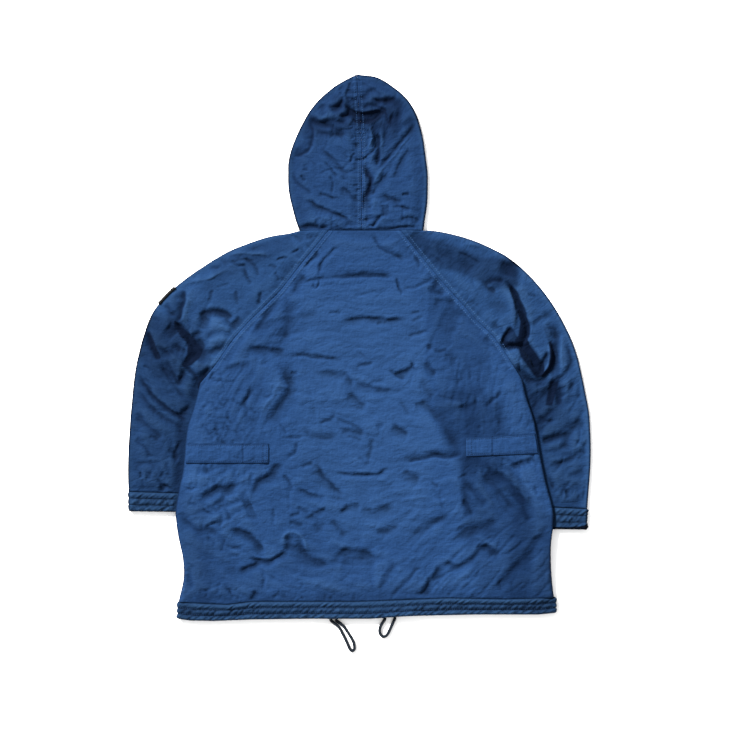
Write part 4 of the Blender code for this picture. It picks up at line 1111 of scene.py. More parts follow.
BACK_SHADE_LIGHT_AND_LINT = (
    # strength, softness in mm, then the outline: x, y, ...
    # lint, a little lighter
    (-1.0, 2.2, 198, 592, 198.6, 592.5),
    (-1.0, 2.2, 194.6, 596, 195.2, 596.4),
    (-1.0, 2.2, 184, 588, 184.4, 588.6),
    (-0.8, 2.2, 187, 600, 187.4, 600.4),
    # painted shade
    (0.30, 8.0, 431, 276, 434, 290, 452, 304, 472, 318, 486, 342, 488, 374, 480, 392, 462, 400,
     440, 396, 426, 372, 427, 330, 430, 300),
    (0.34, 26.0, 436, 398, 474, 394, 496, 402, 502, 440, 496, 456, 470, 462, 450, 446),
    (0.18, 10.0, 466, 406, 484, 400, 500, 408, 500, 452, 466, 456, 466, 420),
    (0.16, 20.0, 430, 400, 452, 404, 474, 410, 474, 440, 462, 450, 446, 434),
    (0.30, 26.0, 464, 460, 500, 462, 522, 500, 528, 540, 520, 600, 490, 600, 470, 540),
    (0.16, 12.0, 462, 458, 476, 460, 500, 478, 514, 500, 520, 515, 500, 532, 474, 530, 464, 500),
    (0.24, 8.0, 486, 464, 506, 468, 520, 482, 530, 498, 520, 502, 504, 488, 492, 476),
    (0.34, 24.0, 520, 500, 548, 520, 556, 600, 512, 600, 512, 560),
    (0.22, 14.0, 546, 540, 556, 540, 556, 604, 538, 604, 538, 570),
    # painted light over the middle of the back
    (-0.22, 60.0, 318, 306, 400, 300, 424, 350, 420, 440, 410, 520, 350, 516, 312, 450),
    # painted shade
    (0.18, 8.0, 303, 280, 290, 300, 288, 345, 262, 352, 240, 352, 262, 322, 282, 300),
    (0.22, 24.0, 176, 490, 196, 500, 206, 540, 204, 604, 176, 604),
    (0.10, 36.0, 182, 500, 214, 506, 226, 540, 222, 600, 184, 600),
    (0.12, 10.0, 184, 540, 226, 536, 222, 566, 262, 566, 264, 598, 186, 600),
    (0.14, 40.0, 196, 352, 244, 352, 254, 400, 236, 440, 190, 446),
    (0.18, 20.0, 290, 545, 340, 552, 344, 562, 318, 572, 280, 566),
    (0.16, 14.0, 320, 584, 425, 584, 425, 604, 320, 604),
    (0.16, 26.0, 296, 230, 424, 230, 430, 246, 380, 248, 330, 246, 286, 258),
)
back_creases = lean(hand_creases(BACK_CREASES), 1.4, 3.4, 2.9, 0.9) + BACK_CHANCE
print("creases on the back:", len(back_creases))

# %% Height of the back
SEAM_RUN = 34.0        # from a seam to the full puff
NIP = 1.3              # how far the cloth dips at a seam
BAND = 8.4             # the seam's allowance, pressed to both sides and stitched
BAND_RISE = 0.8
STITCH_PLACE = 6.2     # the stitches' distance from the seam
SEAM_RUB = 0.34        # how much lighter the stitched rows are rubbed
STITCH_PITCH = 4.6


def nip(away):
    """How far the cloth is drawn down at a seam."""
    return NIP * bell(away, 1.8)


def seam_band(away, along, seed):
    """A stitched seam: a ditch, a raised band, a dimple at each stitch and puckers beside it."""
    ditch = -0.4 * NIP * bell(away, 1.2)
    band = BAND_RISE * smooth((BAND + 1.2 - away) / 2.4)
    row = bell(away - STITCH_PLACE, 1.1)
    dimple = -0.55 * row * (0.55 + 0.45 * np.cos(2 * math.pi * along / STITCH_PITCH))
    pucker = (0.9 * noise(along, away, 9.0, 34.0, seed)
              + 0.5 * noise(along, away, 4.6, 24.0, seed + 1))
    return ditch + band + dimple + pucker * bell(away - 9.0, 13.0)


def crumples(x, y, seed, coarse=1.0, fine=1.0):
    """Crumpled cotton: wide swells, shallow facets of 3 cm, and fine ones of 1 cm."""
    swell = 1.4 * noise(x, y, 95.0, 70.0, seed) + 0.6 * noise(x, y, 44.0, 36.0, seed + 7)
    facets = 0.6 * crumple(x, y, 34.0, seed + 20, 12.0, 1.7)
    small = 0.28 * crumple(x, y, 13.0, seed + 30, -18.0, 1.8)
    return coarse * (swell + facets) + fine * (small + 0.13 * noise(x, y, 5.2, 4.4, seed + 40))


def drawn_grain(x, y, table, seed):
    """Long shallow creases that run one way in each part of a panel.

    Near each row's middle the height is the size of a noise, as long and as wide as the
    row says and stretched along its turn. It creases where that noise is zero.
    """
    height = np.zeros(np.shape(x))
    for number, (mid_x, mid_y, reach, turn, strength, length, width) in enumerate(table):
        (mx, my), = drawn((mid_x, mid_y))
        weight = np.exp(-((x - mx) ** 2 + (y - my) ** 2) / (reach * DRAWING_UNIT) ** 2)
        angle = math.radians(turn)
        u = x * math.cos(angle) + y * math.sin(angle)
        v = y * math.cos(angle) - x * math.sin(angle)
        first = seed + 10 * number
        v = v + 0.35 * width * noise(u, v, 60.0, 60.0, first)
        sharp = np.abs(noise(u, v, length, width, first + 1))
        fine = np.abs(noise(u, v, 0.6 * length, 0.45 * width, first + 2))
        height += weight * strength * (sharp + 0.45 * fine - 0.45)
    return height


def drawn_tone(x, y, table):
    """How much darker the cloth is, mostly as painted shade, and lighter below 0: each row is a
    strength, an edge's softness and an outline.
    """
    tone = np.zeros(np.shape(x))
    for strength, soft, *values in table:
        away = outline_distance(x, y, [tuple(p) for p in drawn(values)])
        tone = tone + strength * smooth(1 - away / soft)
    return np.clip(tone, -1.0, 1.0)


def cloth_tone(x, y, table, creases, seams):
    """Painted shade and light where a tone is drawn, painted shade down in the creases, lighter
    where stitched rows rub.
    """
    away = np.min([near(x, y, seam)[0] for seam in seams], axis=0)
    rubbed = SEAM_RUB * bell(away - STITCH_PLACE, 1.9)
    tone = drawn_tone(x, y, table)
    return np.clip(np.maximum(tone, tone + painted_crease_shade(x, y, creases)) - rubbed, -1.0, 1.0)


def soft_floor(thick, least=LEAST):
    """Keep the thickness above its least by bending it, not by cutting it."""
    over = (thick - least) / 1.2
    bent = np.log1p(np.exp(np.minimum(over, 30.0))) * np.where(over > 30, over / 30, 1)
    return least + 1.2 * bent


def back_top(x, y):
    """The back's height: its lift, its wall, its puff, its creases and its stitched seams."""
    left, along_left, _ = near(x, y, RAGLAN[-1])
    right, along_right, _ = near(x, y, RAGLAN[1])
    raglan = np.minimum(left, right)
    along = np.where(left < right, along_left, along_right)
    side = side_distance(x, y)
    neck, hem = NECK - y, y - hem_seam_y(x)
    edge = np.minimum(np.minimum(raglan, side), np.minimum(neck, hem))
    free = below(y, FREE_Y, FREE_RUN)
    loft = LOFT * smooth(edge / SEAM_RUN)
    folds = crease_heights(x, y, back_creases) + crumples(x, y, 3, 0.68, 0.7)
    folds = folds + 0.88 * drawn_grain(x, y, BACK_GRAIN, 700)
    thick = WALL + loft + folds * smooth((edge + 2.0) / 9.0)
    thick = thick + seam_band(raglan, along, 61) * (1 - free)
    thick = thick - nip(np.minimum(neck, hem))
    floor = lift(x, y)
    thick = soft_floor(thick) + rise(x, y) - floor
    rounded = 1.0 + (thick - 1.0) * quarter(side / 8.0)
    thick = thick + (rounded - thick) * free
    return floor + UPPER + thick


# %% Make the back
EDGE_STEPS = (0.0, 0.6, 1.6, 3.2, 5.4)   # millimetres from an edge, where the cloth turns
BACK_UPPER, BACK_LOWER, BACK_COLUMNS = 117, 164, 289   # rows above and below the underarm
RAGLAN_DEPTH, SIDE_DEPTH = 30.4, 436.0   # how far down one sleeve row goes, and one side


def body_edge(side, upper, lower):
    """One edge of the body: down the raglan seam, then down the side."""
    seam = path(RAGLAN_TABLE[side], upper)
    first, last = EDGE[side][0, 1], EDGE[side][-1, 1]
    y = first + (last - first) * lower
    free = np.stack([np.interp(-y, -EDGE[side][:, 1], EDGE[side][:, 0]), y], axis=1)
    whole = np.concatenate([seam, free])
    whole[:, 0] -= side * SEAM
    return whole


def back_grid():
    """Rows from the neck to the hem, columns from the left edge to the right one."""
    upper = np.concatenate([np.array(EDGE_STEPS[:-1]) / RAGLAN_DEPTH,
                            np.linspace(EDGE_STEPS[-1] / RAGLAN_DEPTH, UNDERARM, BACK_UPPER)])
    ends = 1 - np.array(EDGE_STEPS[::-1]) / SIDE_DEPTH
    lower = np.concatenate([np.linspace(0, ends[0], BACK_LOWER + 1)[1:], ends[1:]])
    left, right = (body_edge(side, upper, lower) for side, _ in SIDES)
    width = right[:, 0] - left[:, 0]
    inset = np.array(EDGE_STEPS)
    inner = np.linspace(0, 1, BACK_COLUMNS - 2 * len(EDGE_STEPS) + 2)[1:-1]
    offset = np.concatenate([
        np.broadcast_to(inset, (len(width), len(inset))),
        inset[-1] + (width[:, None] - 2 * inset[-1]) * inner,
        width[:, None] - inset[::-1]], axis=1)
    share = offset / width[:, None]
    x = left[:, :1] + offset
    y = left[:, 1:] + (right[:, 1:] - left[:, 1:]) * share
    row = np.concatenate([np.zeros(len(upper)), lower])[:, None]
    straight = left[-1, 1] + (right[-1, 1] - left[-1, 1]) * share
    y = y + smooth((row - 0.7) / 0.3) * (hem_seam_y(x) + SEAM - straight)
    y[0] -= SEAM
    return x, y


def painted_side_shade(x, y):
    """Painted shade within 4.5 mm of the body's sides, where the cloth turns under."""
    return 0.6 * smooth(1 - side_distance(x, y) / 4.5) * below(y, -60.0, FREE_RUN)


back_x, back_y = back_grid()
back_z = back_top(back_x, back_y)
back = panel("back_panel", grid(back_x, back_y, back_z),
             grid(back_x, back_y, lift(back_x, back_y) + UPPER), body_cotton,
             tone=cloth_tone(back_x, back_y, BACK_SHADE_LIGHT_AND_LINT, back_creases,
                             (RAGLAN[-1][:-6], RAGLAN[1][:-6])) + painted_side_shade(back_x, back_y))
print("back grid:", back_z.shape, "top at", round(float(back_z.max()), 1), "mm")

# %% [markdown]
# ## The sleeves
# A raglan sleeve runs from the neck to the cuff in one piece. Laid flat it is a
# tube pressed into two layers about its outer fold, so the grid goes across the
# upper layer, round the fold and back along the floor. Its creases are the boldest
# on the jacket, where the cloth buckles at the underarm and over the elbow.

# %% Creases drawn on the sleeves
LEFT_SLEEVE_CREASES = (
    # depth, left width, right width, lip, then the route: x, y, ...
    # along the shoulder
    (-2.6, 5, 3, 0.0, 226, 255.5, 238, 253.5, 255, 254.5, 272, 256),
    (-2.4, 5, 2.5, 0.0, 184, 284, 197, 281, 208, 279.5, 217, 275, 228, 269),
    (2.5, 2.5, 3, 0.6, 232, 259, 236, 265, 243, 266, 248, 268),
    (2.5, 3, 4, 0.6, 243, 258, 250, 262, 256, 268, 259, 279),
    (2.5, 3, 4, 0.6, 243, 268, 247, 275, 251, 287),
    (2.0, 2, 3, 0.5, 275, 261, 283, 259, 289, 259),
    (2.0, 2, 3, 0.5, 291, 253, 300, 250),
    (2.0, 2, 3, 0.5, 268, 265, 273, 267, 278, 269),
    (2.5, 4, 3, 0.6, 262, 291, 260, 298, 258, 306),
    (1.8, 2.5, 2.5, 0.4, 213, 289, 211.5, 295, 210, 303),
    (1.8, 2.5, 2.5, 0.4, 236, 290, 237, 300, 239, 308),
    (2.0, 2.5, 3, 0.5, 275, 272, 279, 282),
    (1.6, 2.5, 2.5, 0.4, 210, 267, 217, 268, 223, 266),
    # the great fold at the elbow
    (6.5, 2.8, 11, 1.4, 184, 290, 185, 300, 182.5, 309, 181, 316, 176.5, 323),
    (-3.0, 5, 14, 0.0, 187, 296, 187, 306, 185, 316, 181, 322),
    (7.5, 5, 2.5, 1.0, 175, 321, 182, 330, 188, 336.5, 192, 343, 195, 351),
    (8.0, 6, 6, 0.0, 194, 338, 197, 346, 196, 354, 190, 361, 182, 367),
    (-3.5, 2, 2.5, 0.0, 189, 328, 192, 336, 196, 343, 200, 348, 204, 352),
    (5.0, 3, 3, 0.8, 202, 329, 197, 334, 192, 340),
    (4.0, 2, 2, 0.5, 199, 339, 201, 345, 204, 351),
    (4.5, 5, 5, 0.0, 200, 350, 204, 357, 206, 366),
    (5.5, 3, 5, 0.4, 212, 366, 206, 373, 201, 381, 197, 392),
    (-3.4, 2.4, 2.4, 0.0, 158, 342, 166, 349, 172, 355, 180, 364, 187, 372, 194, 379, 201, 387),
    (4.5, 3, 3, 0.4, 184, 365, 192, 373, 200, 382),
    (3.5, 4, 3, 0.8, 156, 345, 163, 350, 169, 352.5, 177, 353),
    (5.0, 3, 4, 0.6, 183, 368, 184.5, 374, 181, 380, 176, 386),
    (4.0, 6, 6, 0.6, 167, 326, 172, 330, 178, 336),
    (3.0, 3, 3, 0.6, 165, 303, 171, 312, 176, 317),
    (3.0, 4, 4, 0.8, 176, 342, 180, 350, 188, 353),
    # the arc above the bulge
    (5.5, 6, 3.2, 1.2, 199, 319, 205, 313.5, 212, 311.5, 220, 312, 228, 315, 234, 320.5),
    (3.5, 4, 5, 0.6, 206, 315, 203, 322, 201, 331),
    (3.0, 3, 3, 0.6, 225, 318, 230, 324.5, 236, 323.5, 241, 316),
    (-4.0, 12, 12, 0.0, 208, 324, 220, 326, 232, 332),
    (3.0, 4, 3, 0.6, 207, 341, 212, 334.5, 220, 332.5, 231, 333),
    (4.5, 3, 5, 0.8, 210, 357, 214, 351.5, 220, 348.5, 229, 346.5),
    (-3.0, 8, 8, 0.0, 208, 343, 218, 341, 228, 340),
    # down the arm
    (5.0, 2.6, 7, 1.0, 147, 328, 150, 338, 153, 346, 157, 354, 162, 363),
    (-2.6, 6, 3, 0.0, 151, 328, 154, 338, 158, 348, 163, 358),
    (3.2, 3, 5, 0.9, 159, 360, 165, 371, 173, 383, 182, 395, 190, 402),
    (2.6, 3, 4, 0.8, 167, 360, 173, 372, 179, 386),
    (4.5, 3, 6, 1.2, 139, 372, 144, 383, 152, 394, 164, 406, 178, 415, 192, 424),
    (3.6, 3, 5, 1.0, 138, 388, 146, 400, 157, 412, 171, 421, 187, 431),
    (3.0, 3, 5, 0.8, 136, 410, 144, 421, 156, 432, 166, 440),
    (3.0, 3, 4, 0.7, 179, 414.5, 188, 409, 197, 403),
    (3.0, 4, 5, 0.7, 168, 449, 174, 454, 180, 460),
    (2.4, 4, 4, 0.7, 134, 440, 146, 448, 152, 458),
    (2.4, 3, 4, 0.5, 157, 479, 165, 485, 173, 490),
    (2.4, 3, 4, 0.5, 166, 484, 161, 493),
    (2.6, 4, 3, 0.6, 182, 440, 176, 452, 175, 466),
)
RIGHT_SLEEVE_CREASES = (
    # along the shoulder
    (3.6, 8, 8, 0.4, 404, 236, 420, 240, 433, 245, 450, 255, 484, 268),
    (3.2, 6, 7, 0.4, 412, 245, 430, 250, 447, 258, 480, 275),
    (-2.6, 7, 4, 0.0, 458, 243, 485, 247, 497, 253, 510, 262),
    (2.4, 3, 4, 0.5, 455, 252, 470, 258, 482, 265),
    # the dark pocket and its hook
    (5.5, 8, 6, 0.0, 513, 261, 508, 270, 505, 279),
    (3.0, 3, 3, 0.4, 500, 262, 507, 265.5, 515, 266),
    (4.2, 3, 4, 0.9, 487, 280, 485.5, 286, 489, 290, 496, 292),
    (3.6, 5, 2.2, 0.8, 486, 284.5, 494, 281, 504, 281),
    # the great fold: a lit plane ends in a crest, then drops into shadow
    (-5.0, 3, 15, 0.0, 500, 281, 507, 290, 511, 298, 513, 307, 514, 318, 512, 330),
    (9.0, 2.4, 5.5, 1.4, 503, 281, 509, 286, 516, 296, 521.5, 309, 526.5, 324, 527, 332, 523, 341,
     518, 348),
    (-2.5, 12, 3, 0.0, 512, 285, 520, 298, 526, 310, 531, 324, 531, 336),
    (7.0, 6, 2.4, 0.9, 511, 326, 506, 332, 502, 338.5, 500, 346),
    (6.0, 4.5, 2.4, 1.0, 499, 348.5, 508, 346.5, 515, 345.5, 524, 347),
    (3.0, 3, 3, 0.6, 493, 322, 498, 329, 504, 329),
    (-2.4, 3, 3, 0.0, 505, 334, 510, 329, 514, 330),
    (9.0, 9, 2.6, 1.2, 516, 343, 524, 352, 530, 360.5, 538, 374),
    (-3.0, 7, 8, 0.0, 505, 354, 515, 362, 525, 372),
    (2.5, 3, 3, 0.6, 519, 356, 518, 364, 520, 374),
    # the curled flap
    (-4.0, 2.2, 2.2, 0.0, 547.5, 344, 549.8, 354, 549, 362, 545.5, 369, 538, 377),
    (6.5, 4, 2.4, 0.4, 548.5, 340, 552.3, 352, 552, 361, 548.5, 369.5, 541, 377),
    (5.0, 2.4, 4, 0.4, 547.5, 350, 543.5, 359, 540.5, 366, 537.5, 376),
    (4.0, 3, 4, 0.8, 549, 373, 543, 378.5, 536, 381.5, 529, 379.5, 521, 381.5),
    # over the elbow
    (2.6, 5, 5, 0.5, 530, 331, 535, 322, 543, 317.5, 553, 313),
    (4.0, 5, 5, 0.6, 546, 330, 551, 328, 554.5, 332, 555, 340),
    (5.0, 4, 5, 0.8, 555, 330, 555.5, 342, 555, 354, 553.5, 366, 551.5, 379),
    (-3.0, 5, 5, 0.0, 562, 332, 560.5, 348, 561, 362, 562, 371),
    (4.0, 3, 5, 0.9, 567, 342, 569.5, 354, 569.5, 364, 565, 372.5, 559, 378, 549, 379),
    (5.5, 4, 5, 0.5, 551.5, 379, 551, 391, 548.5, 405),
    (4.0, 3, 4, 0.5, 559.5, 384, 558.5, 395, 558, 407),
    (3.0, 3, 4, 0.6, 571, 376, 570, 392, 565, 407),
    (2.4, 3, 4, 0.5, 580, 372, 579, 388, 576, 402),
    (2.0, 3, 3, 0.4, 527, 296, 536, 295),
    (5.0, 5, 4, 0.3, 512, 366, 518, 375, 523, 386, 526, 398),
    # down the arm
    (4.2, 5, 4, 1.2, 584, 419, 577, 425, 570, 432, 565, 441, 561, 451),
    (4.0, 3, 5, 0.9, 570, 431, 562, 435, 553, 438.5, 538, 443),
    (3.4, 3, 4, 0.9, 518, 421, 527, 412, 535, 403, 550, 388),
    (3.4, 3, 4, 0.9, 525, 430, 535, 424, 545, 416, 556, 405),
    (3.0, 3, 4, 0.9, 522, 407, 530, 400, 540, 392, 562, 383),
    (3.4, 3, 5, 0.9, 535, 441, 552, 436, 568, 426, 585, 416),
    (3.0, 3, 4, 0.7, 556, 386, 557.5, 398, 557, 410),
    (2.6, 3, 4, 0.6, 535, 415, 545, 420, 556, 421),
    (3.2, 4, 5, 0.7, 540, 452, 556, 450, 572, 443),
    (2.8, 4, 5, 0.7, 546, 466, 562, 462, 580, 452),
    (3.0, 3, 4, 0.7, 584, 469, 576, 473, 566, 476),
    (2.6, 4, 4, 0.6, 538, 468, 548, 478, 552, 490),
    (2.4, 4, 4, 0.6, 570, 480, 562, 490, 560, 500),
)
LEFT_SLEEVE_SHADE = (
    # strength, softness in mm, then the outline: x, y, ...
    # painted shade
    (0.40, 44.0, 145, 322, 176, 332, 176, 360, 176, 385, 180, 440, 176, 500, 126, 500, 126, 420),
    (0.28, 10.0, 170, 300, 184, 293, 182, 312, 176, 323, 174, 330, 170, 318),
    (1.30, 7.0, 187, 334, 194, 341, 201, 350, 198, 357, 191, 363, 185, 365, 190, 355, 190, 345),
    (1.00, 4.0, 176, 322, 180, 327, 187, 335, 193, 342, 190, 344, 182, 336, 177, 328),
    (0.36, 8.0, 203, 353, 209, 351, 210, 366, 204, 380, 198, 392, 194, 398, 192, 392, 199, 376),
    (0.35, 5.0, 150, 333, 154, 343, 160, 357, 157, 358, 151, 345),
    (0.30, 20.0, 190, 384, 208, 374, 192, 420, 186, 500, 178, 500, 182, 420),
    (0.14, 20.0, 192, 326, 206, 322, 212, 336, 208, 350, 200, 346),
    (0.22, 16.0, 150, 318, 176, 320, 196, 336, 204, 352, 194, 378, 160, 376, 140, 350),
    (0.26, 10.0, 212, 268, 240, 254, 288, 238, 292, 246, 262, 258, 222, 280),
    (0.30, 5.0, 200, 319, 206, 313, 214, 311, 224, 312, 231, 316, 222, 316.5, 210, 316),
)
RIGHT_SLEEVE_SHADE = (
    # painted shade
    (0.55, 14.0, 408, 240, 440, 244, 480, 260, 514, 264, 514, 284, 498, 286, 470, 274, 440, 264,
     415, 248),
    (0.20, 14.0, 500, 261, 514, 263, 516, 270, 514, 286, 508, 286, 502, 281),
    (0.55, 4.0, 509, 288, 515, 297, 520, 308, 523, 318, 518, 316, 513, 302),
    (1.30, 5.0, 519, 312, 524, 318, 527, 326, 527, 335, 522, 346, 512, 347, 519, 335, 521, 322),
    (0.30, 5.0, 513, 306, 519, 312, 523, 326, 521, 337, 514, 332, 512, 318),
    (0.80, 5.0, 510, 328, 514, 336, 519, 345, 508, 347, 500, 346, 502, 338),
    (1.10, 5.0, 503, 343.5, 514, 343.5, 526, 342, 526, 348, 514, 347, 504, 346),
    (1.15, 10.0, 519, 345, 526, 345, 533, 354, 539, 364, 541, 374, 536, 375, 529, 366, 521, 356),
    (0.45, 4.0, 547, 353, 546, 362, 540, 373, 537, 374, 540, 364),
    (1.15, 4.0, 549, 343, 552, 350, 552.5, 362, 547, 372, 542, 376, 548, 366, 549.5, 356),
    (0.40, 6.0, 544, 329, 553, 328, 557, 336, 557, 380, 550, 404, 546, 404, 551, 378, 553, 352,
     548, 340),
    (0.30, 18.0, 532, 384, 556, 384, 554, 410, 540, 430, 524, 436, 526, 410),
    (0.34, 40.0, 520, 380, 562, 390, 572, 510, 520, 512, 516, 440),
)
SLEEVE_SHADE = {-1: LEFT_SLEEVE_SHADE, 1: RIGHT_SLEEVE_SHADE}
LEFT_SLEEVE_CHANCE = chance_creases(21, (
    # count, x from, x to, y from, y to, turn, spread, shortest, longest, depth, width
    (30, 190, 320, 236, 340, 10, 36, 16, 60, 1.2, 2.1),
    (34, 140, 205, 320, 420, -42, 24, 20, 80, 1.7, 2.3),
    (34, 130, 215, 410, 490, -44, 40, 20, 70, 1.7, 2.3),
    (16, 132, 196, 474, 492, 86, 10, 10, 28, 1.6, 2.0),
))
RIGHT_SLEEVE_CHANCE = chance_creases(22, (
    (26, 405, 500, 236, 320, -20, 30, 16, 60, 1.1, 2.1),
    (14, 525, 560, 275, 330, 60, 30, 14, 50, 1.0, 2.1),
    (30, 515, 588, 380, 440, 40, 24, 20, 80, 1.8, 2.3),
    (38, 515, 588, 430, 505, 40, 44, 20, 70, 1.8, 2.3),
    (16, 524, 586, 488, 506, 86, 10, 10, 28, 1.6, 2.0),
))
sleeve_creases = {
    -1: lean(hand_creases(LEFT_SLEEVE_CREASES), 1.4, 2.6, 2.9, 0.9) + LEFT_SLEEVE_CHANCE,
    1: lean(hand_creases(RIGHT_SLEEVE_CREASES), 1.4, 2.6, 2.9, 0.9) + RIGHT_SLEEVE_CHANCE,
}
print("creases on the sleeves:", {side: len(made) for side, made in sleeve_creases.items()})

# %% Height of a sleeve
FOLD_RUN = 30.0        # from the outer fold to the full puff


def outer_fold(side):
    """The sleeve's outer fold as a dense curve."""
    return curve_of([row[2:] for row in SLEEVE_TABLE[side]])


def sleeve_top(x, y, side):
    """The sleeve's upper layer: puffed and creased, but flat where the body lies on it."""
    away, along, _ = near(x, y, RAGLAN[side])
    fold = near(x, y, outer_fold(side))[0]
    body = outline_distance(x, y, BODY_OUTLINE)
    under = below(y, FREE_Y, FREE_RUN)
    last = SLEEVE_TABLE[side][-1]
    cuff = y - line_y(sorted([last[:2], last[2:]]), x)
    loft = (1 - under) * smooth(away / SEAM_RUN) + under * smooth((body - 3.0) / 22.0)
    loft = LOFT * loft * smooth((fold - FOLD) / FOLD_RUN) * smooth(cuff / 26.0)
    shown = (1 - under) * smooth((away + 2.0) / 9.0) + under * smooth((body - 2.0) / 13.0)
    shown = shown * smooth((fold - 1.0) / 14.0) * smooth((cuff + 1.0) / 9.0)
    folds = crease_heights(x, y, sleeve_creases[side]) + crumples(x, y, 200 + side, 1.15, 1.1)
    thick = WALL + loft + folds * shown
    thick = thick + seam_band(away, along, 71) * (1 - under) - nip(cuff)
    swell = rise(x, y) * smooth((y + 66.0) / 45.0) * bell(away, 42.0)
    return UPPER + soft_floor(thick) + swell * smooth((fold - 2.0) / 50.0)


# %% Wrapped panel builder
LINING_END = 5.0       # how far before its end the lower layer stops being flat
# painted shade at each fold's rim
FOLD_SHADE = 0.8        # how much darker the cloth is where it turns under


def wrap(name, start, fold, reach, top, counts, free_end, material, relief_reach=7, tone=None):
    """A cloth in two layers about a fold: across the upper layer, round, and back below.

    Each row goes from its start to its fold; top gives the upper layer's height, and
    the fold is a half circle whose upper half carries on the puff at its brow. The
    rim gets a painted shade, where the cloth turns under.
    """
    upper_count, lower_count = counts
    length = np.linalg.norm(fold - start, axis=1)[:, None]
    toward = (fold - start) / length

    def place(along):
        """The x and y of points so far along each row."""
        return (start[:, k:k + 1] + toward[:, k:k + 1] * along for k in (0, 1))

    brow = length - FOLD
    inset = np.array(EDGE_STEPS)
    share = np.linspace(0, 1, upper_count + 1)[1:]
    along = np.concatenate([np.broadcast_to(inset, (len(start), len(inset))),
                            inset[-1] + (brow - inset[-1]) * share], axis=1)
    z = top(*place(along))
    puff = np.clip(z[:, -1:] - UPPER - WALL, 0.0, None)
    angle = np.radians(np.linspace(80, -80, 9))[None, :]
    radius = FOLD + puff * np.maximum(np.cos(angle), 0.0)
    arc_along = brow + radius * np.cos(angle)
    arc_z = FOLD + (FOLD + puff * (angle > 0)) * np.sin(angle)
    end = length - reach[:, None]
    under = np.linspace(0, 1, lower_count)
    low_along = np.concatenate([brow + (end + LINING_END - brow) * under,
                                end + np.array([1.6, 0.0])], axis=1)
    turn_up = np.array([1.4, WALL - 1.0]) if free_end else np.array([0.0, NIP])
    low_z = np.concatenate([np.zeros((len(start), lower_count)),
                            np.broadcast_to(turn_up, (len(start), 2))], axis=1)
    along = np.concatenate([along, arc_along, low_along], axis=1)
    z = np.concatenate([z, arc_z, low_z], axis=1)
    x, y = place(along)
    outer = grid(x, y, z)
    flats = np.concatenate([np.full(len(inset) + upper_count, UPPER), np.linspace(UPPER, WALL, 9),
                            np.full(lower_count + 2, WALL)])
    inner = grid(*place(np.minimum(along, length - WALL)), flats)
    steps = np.linalg.norm(np.diff(outer, axis=1), axis=2)
    across = np.concatenate([np.zeros((len(start), 1)), np.cumsum(steps, axis=1)], axis=1)
    cloth = grid(across, run_along((start + fold) / 2)[:, None])
    above = np.arange(along.shape[1]) < len(inset) + upper_count + 5
    painted_rim_shade = FOLD_SHADE * smooth((along - length + 6.0) / 5.0) * (z > 0.4 * UPPER)
    return panel(name, outer, inner, material, relief_reach,
                 (tone(x, y) * above if tone else 0.0) + painted_rim_shade, cloth)


# %% Make the sleeves
SLEEVE_ROWS = 269


def sleeve_rows(side, count):
    """The sleeve's rows from the neck to the cuff: their inner ends and their folds."""
    table = np.array(SLEEVE_TABLE[side], dtype=float)
    rows = np.linspace(0, len(table) - 1, count)
    upper = rows <= UNDERARM
    start = np.concatenate([path(table[:UNDERARM + 1, :2], rows[upper]),
                            path(table[UNDERARM:, :2], rows[~upper] - UNDERARM)])
    fold = path(table[:, 2:], rows)
    start[:, 0] += side * SEAM
    start[0, 1] -= SEAM
    fold[0, 1] -= SEAM
    start[-1, 1] += SEAM
    fold[-1, 1] += SEAM
    return start, fold


sleeves = {}
for side, name in SIDES:
    start, fold = sleeve_rows(side, SLEEVE_ROWS)
    reach = np.linalg.norm(fold - start, axis=1)
    sleeves[side] = wrap(f"raglan_sleeve_{name}", start, fold, reach,
                         lambda x, y: sleeve_top(x, y, side), (80, 25), False, sleeve_cotton,
                         tone=lambda x, y: cloth_tone(x, y, SLEEVE_SHADE[side],
                                                      sleeve_creases[side],
                                                      (RAGLAN[side][:-6],)))
    print(f"{name} sleeve: {run_along((start + fold) / 2)[-1]:.0f} mm long, "
          f"{reach.min():.0f} to {reach.max():.0f} mm across")

# %% [markdown]
# ## The hood
# The hood is two halves joined by a stitched seam down its middle. It lies flat and
# half collapsed: the crown has sunk into deep folds, and the sides fold under to the
# face opening. Each half is wrapped like a sleeve, with its rows fanning round the crown.

